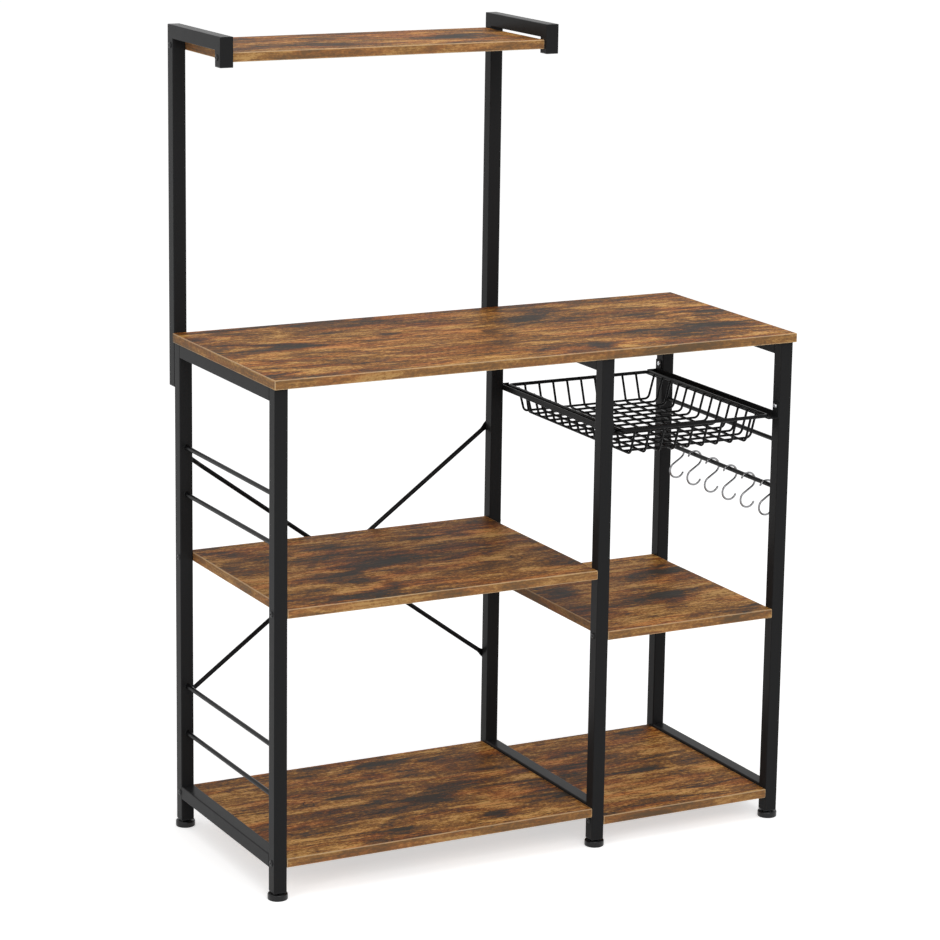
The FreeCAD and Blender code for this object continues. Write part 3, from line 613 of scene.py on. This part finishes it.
def runner(node, inward):
    """A bent angle; inward is the sign of X from the posts' face into the bay."""
    low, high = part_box(node)
    wall = low.x if inward > 0 else high.x
    inner = wall + inward * SHEET
    floor_top = low.z + SHEET
    wall_top = low.z + RUNNER_WALL
    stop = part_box("basket_rim")[1].y - STOP_AHEAD
    piece = block(node + "_angle", (min(wall, inner), low.y, low.z),
                  (max(wall, inner), high.y, wall_top))
    open_mesh(piece)
    for place, normal in (((0, 0, floor_top), (0, 0, 1)),
                          ((0, low.y + RUNNER_TAB, 0), (0, 1, 0)),
                          ((0, high.y - RUNNER_TAB, 0), (0, 1, 0)),
                          ((0, stop, 0), (0, 1, 0)), ((0, stop + SHEET, 0), (0, 1, 0))):
        bpy.ops.mesh.select_all(action="SELECT")
        bpy.ops.mesh.bisect(plane_co=place, plane_no=normal)

    def drawn_out(test, shift):
        """Extrude the faces that pass a test."""
        pick("FACE", test)
        bpy.ops.mesh.extrude_region_move(TRANSFORM_OT_translate={"value": shift})

    drawn_out(lambda face: near(face.calc_center_median().x, inner)
              and face.calc_center_median().z < floor_top,
              (inward * (high.x - low.x - SHEET), 0, 0))
    drawn_out(lambda face: near(face.calc_center_median().z, wall_top)
              and not low.y + RUNNER_TAB < face.calc_center_median().y < high.y - RUNNER_TAB,
              (0, 0, high.z - wall_top))
    drawn_out(lambda face: near(face.calc_center_median().z, floor_top)
              and stop < face.calc_center_median().y < stop + SHEET,
              (0, 0, STOP_HEIGHT - SHEET))
    pick("EDGE", lambda edge: runs_along(edge, 0) and near(edge.verts[0].co.z, high.z))
    bpy.ops.mesh.bevel(offset=TAB_TURN, segments=5, affect="EDGES")
    pick("EDGE", lambda edge: runs_along(edge, 1) and near(edge.verts[0].co.x, wall)
         and near(edge.verts[0].co.z, low.z))
    bpy.ops.mesh.bevel(offset=BEND_OUTSIDE, segments=4, affect="EDGES")
    pick("EDGE", lambda edge: runs_along(edge, 1) and near(edge.verts[0].co.x, inner)
         and near(edge.verts[0].co.z, floor_top))
    bpy.ops.mesh.bevel(offset=BEND_INSIDE, segments=3, affect="EDGES")
    clear_selection()
    bpy.context.view_layer.objects.active = piece
    piece.select_set(True)
    bpy.ops.object.modifier_add(type="BEVEL")
    arris = piece.modifiers[-1]
    arris.width = SHEET_ARRIS
    arris.segments = 2
    arris.limit_method = "ANGLE"
    bpy.ops.object.modifier_apply(modifier=arris.name)
    soften(piece)
    dress(piece, node, "rack", "black_powder_coat", COAT)


runner("left_basket_runner", 1)
runner("right_basket_runner", -1)


# Wire basket
# A tray of 4 mm steel wire under a rim of 6 mm wire. The wires of its floor are bent up at
# both ends, welded where they cross and to the inside of the rim, and powder coated.
RIM_RADIUS = 0.003
RIM_TURN = 0.008
RIM_TURN_STEPS = 8
RIM_ROUNDNESS = 6
WIRE_RADIUS = 0.002
WIRE_TURN = 0.0085
WIRE_TURN_STEPS = 7
WIRE_ROUNDNESS = 4
WIRE_DOME = ((0.2, 0.45), (0.4, 0.35))
FLOOR_DROP = 0.044
WELD_SINK = 0.0001
TIP_BELOW_RIM = 0.0013
LONG_COUNT = 9
CROSS_COUNT = 13
WIRE_PITCH = 0.0272
END_LEAN = math.radians(19)
SIDE_LEAN = math.radians(15)


def corner_chain(name, points):
    """A vertex drawn from corner to corner, which leaves a chain of edges open in edit mode."""
    clear_selection()
    bpy.ops.mesh.primitive_plane_add(size=WIRE_RADIUS, location=points[0])
    piece = bpy.context.object
    piece.name = name
    open_mesh(piece)
    bpy.ops.mesh.select_mode(type="VERT")
    bpy.ops.mesh.select_all(action="SELECT")
    bpy.ops.mesh.merge(type="CENTER")
    for here, there in zip(points, points[1:]):
        bpy.ops.mesh.extrude_region_move(
            TRANSFORM_OT_translate={"value": Vector(there) - Vector(here)})
    return piece


def round_wire(piece, radius, roundness):
    """Thicken a chain of edges into round wire, with domed ends if it has ends."""
    bpy.ops.object.mode_set(mode="OBJECT")
    bpy.ops.object.convert(target="CURVE")
    piece.data.bevel_depth = radius
    piece.data.bevel_resolution = roundness
    bpy.ops.object.convert(target="MESH")
    bpy.ops.object.transform_apply(location=True, rotation=True, scale=True)
    open_mesh(piece)
    bpy.ops.mesh.select_all(action="SELECT")
    bpy.ops.mesh.fill_holes(sides=0)
    bpy.ops.mesh.select_all(action="SELECT")
    bpy.ops.mesh.normals_make_consistent(inside=False)
    pick("FACE", lambda face: len(face.verts) > 4)
    if bpy.context.object.data.total_face_sel:
        for narrowed, raised in WIRE_DOME:
            bpy.ops.mesh.inset(thickness=narrowed * radius, depth=raised * radius,
                               use_individual=True)


low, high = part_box("basket_rim")
rim_middle = (low + high) / 2
rim_half = (high - low) / 2 - Vector((RIM_RADIUS, RIM_RADIUS, RIM_RADIUS))
clear_selection()
bpy.ops.mesh.primitive_plane_add(size=2, location=rim_middle)
rim = bpy.context.object
rim.name = "basket_rim_wire"
open_mesh(rim)
bpy.ops.mesh.select_all(action="SELECT")
bpy.ops.transform.resize(value=(rim_half.x, rim_half.y, 1), center_override=rim_middle)
bpy.ops.mesh.bevel(affect="VERTICES", offset=RIM_TURN, segments=RIM_TURN_STEPS)
bpy.ops.mesh.select_all(action="SELECT")
bpy.ops.mesh.delete(type="ONLY_FACE")
round_wire(rim, RIM_RADIUS, RIM_ROUNDNESS)
soften(rim)
dress(rim, "basket_rim", "basket", "black_powder_coat", WIRE_COAT)


def wire_row(name, node, across, half_span, lean, floor, count):
    """A row of wires bent up at both ends; across is the axis on which they lie."""
    off_rim = RIM_RADIUS + WIRE_RADIUS - WELD_SINK
    rise = rim_middle.z - floor
    corner = half_span - off_rim / math.cos(lean) - rise * math.tan(lean)
    tip_rise = rise + off_rim * math.sin(lean) - TIP_BELOW_RIM
    tip = corner + tip_rise * math.tan(lean)
    first = -WIRE_PITCH * (count - 1) / 2
    points = []
    for reach, height in ((-tip, tip_rise), (-corner, 0), (corner, 0), (tip, tip_rise)):
        point = Vector((rim_middle.x, rim_middle.y, floor + height))
        point[across] += reach
        point[1 - across] += first
        points.append(point)
    wires = corner_chain(name, points)
    bpy.ops.mesh.select_all(action="SELECT")
    bpy.ops.mesh.bevel(affect="VERTICES", segments=WIRE_TURN_STEPS,
                       offset=WIRE_TURN * math.tan((math.pi / 2 - lean) / 2))
    round_wire(wires, WIRE_RADIUS, WIRE_ROUNDNESS)
    clear_selection()
    wires.select_set(True)
    bpy.context.view_layer.objects.active = wires
    bpy.ops.object.modifier_add(type="ARRAY")
    row = wires.modifiers[-1]
    row.count = count
    row.use_relative_offset = False
    row.use_constant_offset = True
    row.constant_offset_displace = (0, 0, 0)
    row.constant_offset_displace[1 - across] = WIRE_PITCH
    bpy.ops.object.modifier_apply(modifier=row.name)
    soften(wires)
    dress(wires, node, "basket", "black_powder_coat", WIRE_COAT)


long_floor = rim_middle.z - FLOOR_DROP
wire_row("basket_floor_long_wires", "basket_long_wires", 1, rim_half.y, END_LEAN, long_floor,
         LONG_COUNT)
wire_row("basket_floor_cross_wires", "basket_cross_wires", 0, rim_half.x, SIDE_LEAN,
         long_floor + 2 * WIRE_RADIUS - WELD_SINK, CROSS_COUNT)


# Hooks
# Six hooks of 3.5 mm steel wire bent to an S, with rounded ends and a bright chrome plate whose
# colour is darkened as a painted reflection of dark surroundings. Each hangs over the lower
# right-hand rod by its upper bow and swings there.
HOOK_COUNT = 6
HOOK_RADIUS = 0.00175
HOOK_BOW = 0.0135
HOOK_APART = 0.032
HOOK_SWEEP = math.radians(213)
HOOK_STEPS = 26
HOOK_ROUNDNESS = 6
# Chrome colour set well below bright plate: a painted reflection of dark surroundings.
CHROME_COLOUR_WITH_PAINTED_DARK_REFLECTION = (0.27, 0.27, 0.275, 1)


def chrome_plate(name, colour, low_gloss, high_gloss):
    """Bright plate with a faint cloud in its gloss, as handled chrome has."""
    material, nodes, links = new_material(name)
    surface = nodes["Principled BSDF"]
    surface.inputs["Base Color"].default_value = colour
    surface.inputs["Metallic"].default_value = 1
    place = nodes.new("ShaderNodeTexCoord")
    cloud = nodes.new("ShaderNodeTexNoise")
    cloud.inputs["Scale"].default_value = 180
    cloud.inputs["Detail"].default_value = 3
    gloss = nodes.new("ShaderNodeMapRange")
    gloss.inputs["From Min"].default_value = 0.35
    gloss.inputs["From Max"].default_value = 0.65
    gloss.inputs["To Min"].default_value = low_gloss
    gloss.inputs["To Max"].default_value = high_gloss
    links.new(place.outputs["Object"], cloud.inputs["Vector"])
    links.new(cloud.outputs["Fac"], gloss.inputs["Value"])
    links.new(gloss.outputs["Result"], surface.inputs["Roughness"])
    return material


# The hooks' chrome, darkened as a painted dark reflection.
CHROME = chrome_plate("chrome_plate_painted_dark_reflection", CHROME_COLOUR_WITH_PAINTED_DARK_REFLECTION, 0.10, 0.2)
lean = math.asin(2 * HOOK_BOW / HOOK_APART)
straight = HOOK_APART / 2 * math.cos(lean)
for number in range(1, HOOK_COUNT + 1):
    node = "s_hook_%d" % number
    low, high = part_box(node)
    middle = (low + high) / 2
    bend = Vector((math.sin(lean), 0, math.cos(lean))) * straight
    bow_centre = Vector((0, 0, HOOK_APART / 2))
    tip_turn = Matrix.Rotation(-HOOK_SWEEP, 3, "Y")
    tip = bow_centre + tip_turn @ (bend - bow_centre)
    hook = corner_chain(node + "_wire", [middle + tip])
    bpy.ops.mesh.spin(steps=HOOK_STEPS, angle=-HOOK_SWEEP, center=middle + bow_centre,
                      axis=(0, 1, 0))
    bpy.ops.mesh.extrude_region_move(TRANSFORM_OT_translate={"value": -2 * bend})
    bpy.ops.mesh.spin(steps=HOOK_STEPS, angle=HOOK_SWEEP, center=middle - bow_centre,
                      axis=(0, 1, 0))
    round_wire(hook, HOOK_RADIUS, HOOK_ROUNDNESS)
    soften(hook)
    dress(hook, node, "hook_%d" % number, "bright_steel", CHROME)


# Bolts
# Black steel furniture bolts with low domed heads and a hexagon socket. They go through the
# tubes into the boards, up through the top rails, and through the brace tabs.
HEAD_THICK = 0.0018
HEAD_DOME = ((1, 0.55), (0.92, 0.74), (0.72, 0.9), (0.4, 0.98), (0.15, 1), (0, 0.97))
SHANK_RADIUS = 0.0025
BOLT_FACETS = 24
SOCKET_RADIUS = 0.00185
SOCKET_DEPTH = 0.0012
BOARD_BITE = 0.014
WORKTOP_BITE = 0.010
WALL_BITE = 0.012
REAR_BOLT_SHIFT = -0.0035
DROP_BOLT_SHIFT = 0.003
WORKTOP_BOLT_INSET = 0.060
HUTCH_BOLT_HEIGHTS = (0.760, 0.787)
BLACK_STEEL_COLOUR = (0.02, 0.02, 0.021, 1)


def black_steel():
    """Black plated steel, a little glossier than the coat around it."""
    material, nodes, links = new_material("black_plated_steel")
    surface = nodes["Principled BSDF"]
    surface.inputs["Base Color"].default_value = BLACK_STEEL_COLOUR
    surface.inputs["Metallic"].default_value = 0.6
    place = nodes.new("ShaderNodeTexCoord")
    cloud = nodes.new("ShaderNodeTexNoise")
    cloud.inputs["Scale"].default_value = 900
    gloss = nodes.new("ShaderNodeMapRange")
    gloss.inputs["To Min"].default_value = 0.28
    gloss.inputs["To Max"].default_value = 0.46
    links.new(place.outputs["Object"], cloud.inputs["Vector"])
    links.new(cloud.outputs["Fac"], gloss.inputs["Value"])
    links.new(gloss.outputs["Result"], surface.inputs["Roughness"])
    return material


BLACK_STEEL = black_steel()


def cut_away(piece, cutter):
    """Cut one solid out of another and delete it."""
    clear_selection()
    bpy.context.view_layer.objects.active = piece
    piece.select_set(True)
    bpy.ops.object.modifier_add(type="BOOLEAN")
    cut = piece.modifiers[-1]
    cut.object = cutter
    cut.operation = "DIFFERENCE"
    cut.solver = "EXACT"
    bpy.ops.object.modifier_apply(modifier=cut.name)
    clear_selection()
    cutter.select_set(True)
    bpy.ops.object.delete()


def domed_fastener(name, head_radius, head_thick, shank_radius, length):
    """A domed head below Z zero and a shank above it, drawn out from the top of the head."""
    dome = [(-below * head_thick, width * head_radius) for below, width in HEAD_DOME]
    shank = [(0, shank_radius), (length - shank_radius / 3, shank_radius),
             (length, shank_radius * 2 / 3)]
    return turned(name, dome + shank, BOLT_FACETS)


def copies_at(name, pattern, spots):
    """Copies of a pattern, each at a place and facing a direction, as one object."""
    placed = []
    for place, direction in spots:
        clear_selection()
        bpy.context.view_layer.objects.active = pattern
        pattern.select_set(True)
        bpy.ops.object.duplicate()
        stand(bpy.context.object, place, direction)
        placed.append(bpy.context.object)
    clear_selection()
    pattern.select_set(True)
    bpy.ops.object.delete()
    for copy in placed:
        copy.select_set(True)
    bpy.context.view_layer.objects.active = placed[0]
    bpy.ops.object.join()
    placed[0].name = name
    return placed[0]


def bolts(node, length, spots):
    """One bolt with its hexagon socket, copied to all its places."""
    pattern = domed_fastener("bolt", BOLT_HEAD_RADIUS, HEAD_THICK, SHANK_RADIUS, length)
    bpy.ops.mesh.primitive_cylinder_add(vertices=6, radius=SOCKET_RADIUS, depth=SOCKET_DEPTH,
                                        location=(0, 0, SOCKET_DEPTH / 2 - HEAD_THICK - TOUCH))
    cut_away(pattern, bpy.context.object)
    soften(pattern)
    dress(copies_at(node + "_set", pattern, spots), node, "rack", "black_powder_coat",
          BLACK_STEEL)


def from_both_sides(left, right, along, height):
    """Places on the outer faces of two tubes, facing each other."""
    return [(Vector((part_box(left)[0].x, along, height)), (1, 0, 0)),
            (Vector((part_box(right)[1].x, along, height)), (-1, 0, 0))]


tube_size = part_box("left_front_post")[1].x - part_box("left_front_post")[0].x
shelf_spots = []
for shelf, left, right in (("left_middle_shelf", "left", "middle"),
                           ("left_bottom_shelf", "left", "middle"),
                           ("right_middle_shelf", "middle", "right"),
                           ("right_bottom_shelf", "middle", "right")):
    for end, shift in (("_front_post", 0), ("_rear_post", REAR_BOLT_SHIFT)):
        shelf_spots += from_both_sides(left + end, right + end, centre(left + end).y + shift,
                                       centre(shelf).z)
bolts("shelf_bolts", tube_size + BOARD_BITE, shelf_spots)
top_spots = []
for part, shift in (("_hutch_drop", DROP_BOLT_SHIFT), ("_hutch_upright", 0)):
    top_spots += from_both_sides("left" + part, "right" + part,
                                 centre("left" + part).y + shift, centre("top_shelf").z)
bolts("top_shelf_bolts", tube_size + BOARD_BITE, top_spots)
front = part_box("left_front_post")[0].y
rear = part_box("left_rear_post")[1].y
bolts("worktop_bolts", tube_size + WORKTOP_BITE,
      [(Vector((centre(side + "_top_rail").x, along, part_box(side + "_top_rail")[0].z)), (0, 0, 1))
       for side in ("left", "middle", "right")
       for along in (front + WORKTOP_BOLT_INSET, rear - WORKTOP_BOLT_INSET)])
bolts("hutch_bolts", tube_size + WALL_BITE,
      [(Vector((centre(side + "_hutch_upright").x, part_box(side + "_hutch_upright")[1].y, height)),
        (0, -1, 0)) for side in ("left", "right") for height in HUTCH_BOLT_HEIGHTS])
low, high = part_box("brace_bolts")
bolts("brace_bolts", 2 * TAB_HALF_THICK + WALL_BITE,
      [(Vector((x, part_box("rising_brace")[1].y, z)), (0, -1, 0))
       for x in (low.x + BOLT_HEAD_RADIUS, high.x - BOLT_HEAD_RADIUS)
       for z in (low.z + BOLT_HEAD_RADIUS, high.z - BOLT_HEAD_RADIUS)])


# Runner screws
# Four bright zinc-plated screws with domed heads and a cross recess hold the runners' tabs to
# the posts.
SCREW_HEAD_RADIUS = 0.004
SCREW_HEAD_THICK = 0.0016
SCREW_RADIUS = 0.002
SCREW_BITE = 0.008
RECESS_LENGTH = 0.0042
RECESS_WIDTH = 0.0009
RECESS_DEPTH = 0.0009
ZINC_COLOUR = (0.62, 0.63, 0.65, 1)
ZINC = chrome_plate("bright_zinc_plate", ZINC_COLOUR, 0.18, 0.32)

screw = domed_fastener("screw", SCREW_HEAD_RADIUS, SCREW_HEAD_THICK, SCREW_RADIUS,
                       SHEET + SCREW_BITE)
for size_x, size_y in ((RECESS_LENGTH, RECESS_WIDTH), (RECESS_WIDTH, RECESS_LENGTH)):
    cut_away(screw, block("recess", (-size_x / 2, -size_y / 2, -SCREW_HEAD_THICK - TOUCH),
                          (size_x / 2, size_y / 2, RECESS_DEPTH - SCREW_HEAD_THICK)))
soften(screw)
low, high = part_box("runner_screws")
screw_height = (low.z + high.z) / 2
screw_spots = []
for end in ("front_post", "rear_post"):
    along = centre("middle_" + end).y
    screw_spots.append((Vector((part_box("middle_" + end)[1].x + SHEET, along, screw_height)),
                        (-1, 0, 0)))
    screw_spots.append((Vector((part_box("right_" + end)[0].x - SHEET, along, screw_height)),
                        (1, 0, 0)))
dress(copies_at("runner_screws_set", screw, screw_spots), "runner_screws", "rack",
      "bright_steel", ZINC)


# Plugs and caps
# Black moulded plastic: plugs with a square flange in the lower ends of the posts, bored for
# the feet, and plain caps that close the lower ends of the brackets.
PLUG_FLANGE = 0.0012
PLUG_DEPTH = 0.014
CAP_THICK = 0.0015
CAP_DEPTH = 0.008
PLUG_WALL = 0.00135
FLANGE_ARRIS = 0.0005
BORE_RADIUS = 0.00315
PLASTIC_COLOUR = (0.006, 0.006, 0.0065, 1)
PLASTIC_SHINE = 0.3


def moulded_plastic():
    """Black moulded plastic with a fine spark-eroded grain."""
    material, nodes, links = new_material("black_moulded_plastic")
    surface = nodes["Principled BSDF"]
    surface.inputs["Base Color"].default_value = PLASTIC_COLOUR
    surface.inputs["Specular IOR Level"].default_value = PLASTIC_SHINE
    place = nodes.new("ShaderNodeTexCoord")
    grain = nodes.new("ShaderNodeTexNoise")
    grain.inputs["Scale"].default_value = 2200
    cloud = nodes.new("ShaderNodeTexNoise")
    cloud.inputs["Scale"].default_value = 140
    gloss = nodes.new("ShaderNodeMapRange")
    gloss.inputs["To Min"].default_value = 0.20
    gloss.inputs["To Max"].default_value = 0.32
    relief = nodes.new("ShaderNodeBump")
    relief.inputs["Strength"].default_value = 0.12
    relief.inputs["Distance"].default_value = 0.0001
    links.new(place.outputs["Object"], grain.inputs["Vector"])
    links.new(place.outputs["Object"], cloud.inputs["Vector"])
    links.new(cloud.outputs["Fac"], gloss.inputs["Value"])
    links.new(gloss.outputs["Result"], surface.inputs["Roughness"])
    links.new(grain.outputs["Fac"], relief.inputs["Height"])
    links.new(relief.outputs["Normal"], surface.inputs["Normal"])
    return material


PLASTIC = moulded_plastic()


def tube_plug(name, flange, depth):
    """A square flange below Z zero with rounded corners, and a plug drawn up from it."""
    half = tube_size / 2
    piece = block(name, (-half, -half, -flange), (half, half, 0))
    open_mesh(piece)
    pick("EDGE", lambda edge: runs_along(edge, 2))
    bpy.ops.mesh.bevel(offset=TUBE_CORNER, segments=TUBE_CORNER_STEPS, affect="EDGES")
    pick("EDGE", lambda edge: near(edge.verts[0].co.z, -flange)
         and near(edge.verts[1].co.z, -flange))
    bpy.ops.mesh.bevel(offset=FLANGE_ARRIS, segments=3, affect="EDGES")
    pick("FACE", lambda face: face.normal.z > 0.99)
    bpy.ops.mesh.inset(thickness=PLUG_WALL)
    bpy.ops.mesh.extrude_region_move(TRANSFORM_OT_translate={"value": (0, 0, depth)})
    clear_selection()
    return piece


plug = tube_plug("plug", PLUG_FLANGE, PLUG_DEPTH)
bpy.ops.mesh.primitive_cylinder_add(vertices=ROD_FACETS, radius=BORE_RADIUS,
                                    depth=4 * PLUG_DEPTH)
cut_away(plug, bpy.context.object)
soften(plug)
posts = [side + end for side in ("left", "middle", "right")
         for end in ("_front_post", "_rear_post")]
post_feet = [Vector((centre(post).x, centre(post).y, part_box(post)[0].z)) for post in posts]
dress(copies_at("foot_inserts_set", plug, [(place, (0, 0, 1)) for place in post_feet]),
      "foot_inserts", "rack", "black_plastic", PLASTIC)
cap = tube_plug("cap", CAP_THICK, CAP_DEPTH)
soften(cap)
cap_spots = []
for part in ("left_hutch_upright", "left_hutch_drop", "right_hutch_upright", "right_hutch_drop"):
    cap_spots.append((Vector((centre(part).x, centre(part).y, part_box(part)[0].z)), (0, 0, 1)))
dress(copies_at("tube_end_caps_set", cap, cap_spots), "tube_end_caps", "rack",
      "black_plastic", PLASTIC)


# Levelling feet
# A thick moulded disc with rounded edges under each post, on a threaded steel stem that
# screws up into the plug above it.
FOOT_RADIUS = 0.016
FOOT_THICK = 0.010
FOOT_EDGE = 0.0022
SOLE_EDGE = 0.0011
FOOT_EDGE_STEPS = 4
FOOT_FACETS = 40
STEM_RADIUS = 0.003
STEM_TOP = 0.026
THREAD_PITCH = 0.001
THREAD_DEPTH = 0.0004
STEM_COLLAR = 0.0052


def foot_stations():
    """Heights and radii of a foot from its sole up to the top of its stem."""
    rows = []
    for k in range(FOOT_EDGE_STEPS + 1):
        turn = math.pi / 2 * k / FOOT_EDGE_STEPS
        rows.append((SOLE_EDGE * (1 - math.sin(turn)),
                     FOOT_RADIUS - SOLE_EDGE * (1 - math.cos(turn))))
    rows.reverse()
    for k in range(FOOT_EDGE_STEPS + 1):
        turn = math.pi / 2 * k / FOOT_EDGE_STEPS
        rows.append((FOOT_THICK - FOOT_EDGE * (1 - math.sin(turn)),
                     FOOT_RADIUS - FOOT_EDGE * (1 - math.cos(turn))))
    rows += [(FOOT_THICK, STEM_COLLAR), (FOOT_THICK + THREAD_PITCH / 2, STEM_RADIUS)]
    height = FOOT_THICK + THREAD_PITCH
    while height < STEM_TOP - THREAD_PITCH:
        rows.append((height, STEM_RADIUS - THREAD_DEPTH))
        rows.append((height + THREAD_PITCH / 2, STEM_RADIUS))
        height += THREAD_PITCH
    rows.append((STEM_TOP, STEM_RADIUS - THREAD_DEPTH))
    return rows


for post in posts:
    side, end, _ = post.split("_")
    node = "%s_%s_foot" % (side, end)
    foot = turned(node + "_disc_and_stem", foot_stations(), FOOT_FACETS)
    stand(foot, (centre(post).x, centre(post).y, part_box(node)[0].z))
    soften(foot)
    dress(foot, node, "%s_%s_levelling_foot" % (side, end), "black_plastic", PLASTIC, ZINC)
    for face in foot.data.polygons:
        face.material_index = 0 if face.center.z < FOOT_THICK + TOUCH else 1


# Stage
# A plain pale floor and soft studio light, with the camera at the height and turn of the
# product view.
FLOOR_COLOUR = (0.86, 0.86, 0.86, 1)
FLOOR_SIZE = 30
FLOOR_LIFT = 0.56
WORLD_LEVEL = 0.55
CAMERA_PLACE = (-2.4194, -4.5667, 1.846)
CAMERA_YAW = math.radians(27.69)
CAMERA_PITCH = math.radians(12.59)
CAMERA_ROLL = math.radians(0.85)
CAMERA_LENS = 124.89
CAMERA_SHIFT_Y = -0.0596


def looked_at(nodes, links):
    """One for rays that see the room, straight or in gloss or glass, and nought for its light."""
    ray = nodes.new("ShaderNodeLightPath")
    mirrored = nodes.new("ShaderNodeMath")
    mirrored.operation = "MAXIMUM"
    seen = nodes.new("ShaderNodeMath")
    seen.operation = "MAXIMUM"
    links.new(ray.outputs["Is Glossy Ray"], mirrored.inputs[0])
    links.new(ray.outputs["Is Transmission Ray"], mirrored.inputs[1])
    links.new(ray.outputs["Is Camera Ray"], seen.inputs[0])
    links.new(mirrored.outputs["Value"], seen.inputs[1])
    return seen.outputs["Value"]


clear_selection()
bpy.ops.mesh.primitive_plane_add(size=FLOOR_SIZE, location=(0, 0, 0))
floor = bpy.context.object
floor.name = "floor"
floor_material, nodes, links = new_material("plain_white_floor")
floor_surface = nodes["Principled BSDF"]
floor_surface.inputs["Base Color"].default_value = FLOOR_COLOUR
floor_surface.inputs["Roughness"].default_value = 0.9
floor_surface.inputs["Specular IOR Level"].default_value = 0.0
white = nodes.new("ShaderNodeEmission")
lift = nodes.new("ShaderNodeMath")
lift.operation = "MULTIPLY"
lift.inputs[1].default_value = FLOOR_LIFT
together = nodes.new("ShaderNodeAddShader")
links.new(looked_at(nodes, links), lift.inputs[0])
links.new(lift.outputs["Value"], white.inputs["Strength"])
links.new(floor_surface.outputs["BSDF"], together.inputs[0])
links.new(white.outputs["Emission"], together.inputs[1])
links.new(together.outputs["Shader"], nodes["Material Output"].inputs["Surface"])
floor.data.materials.append(floor_material)
floor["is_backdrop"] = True

world = bpy.data.worlds.new("soft_white_room")
world.use_nodes = True
nodes = world.node_tree.nodes
links = world.node_tree.links
nodes["Background"].inputs["Color"].default_value = (1, 1, 1, 1)
brightness = nodes.new("ShaderNodeMapRange")
brightness.inputs["To Min"].default_value = WORLD_LEVEL
brightness.inputs["To Max"].default_value = 1.0
links.new(looked_at(nodes, links), brightness.inputs["Value"])
links.new(brightness.outputs["Result"], nodes["Background"].inputs["Strength"])
scene.world = world


def soft_box(name, place, aim, width, height, power):
    """A wide lamp at a place, facing a point."""
    clear_selection()
    bpy.ops.object.light_add(type="AREA", location=place)
    lamp = bpy.context.object
    lamp.name = name
    lamp.rotation_mode = "QUATERNION"
    lamp.rotation_quaternion = (Vector(aim) - Vector(place)).to_track_quat("-Z", "Y")
    lamp.data.shape = "RECTANGLE"
    lamp.data.size = width
    lamp.data.size_y = height
    lamp.data.energy = power


soft_box("left_strip_box", (-7.4, -3.6, 2.4), (0, 0, 0.65), 1.2, 6.0, 85)
soft_box("rear_left_soft_box", (-3.4, 5.4, 1.6), (0, 0, 0.65), 3.2, 3.0, 8)
soft_box("front_soft_box", (-0.6, -3.6, 3.0), (0, 0, 0.5), 2.6, 2.0, 52)
soft_box("top_soft_box", (0.2, -0.6, 3.6), (0, 0, 0.6), 2.6, 2.6, 22)

camera_data = bpy.data.cameras.new("product_view")
camera_data.lens = CAMERA_LENS
camera_data.sensor_width = 36
camera_data.shift_y = CAMERA_SHIFT_Y
camera_data.clip_end = 60
camera = bpy.data.objects.new("product_view", camera_data)
scene.collection.objects.link(camera)
turn = (Matrix.Rotation(-CAMERA_YAW, 3, "Z")
        @ Matrix.Rotation(math.pi / 2 - CAMERA_PITCH, 3, "X")
        @ Matrix.Rotation(CAMERA_ROLL, 3, "Z"))
camera.matrix_world = Matrix.Translation(CAMERA_PLACE) @ turn.to_4x4()
scene.camera = camera
scene.view_settings.view_transform = "Standard"

low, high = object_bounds()
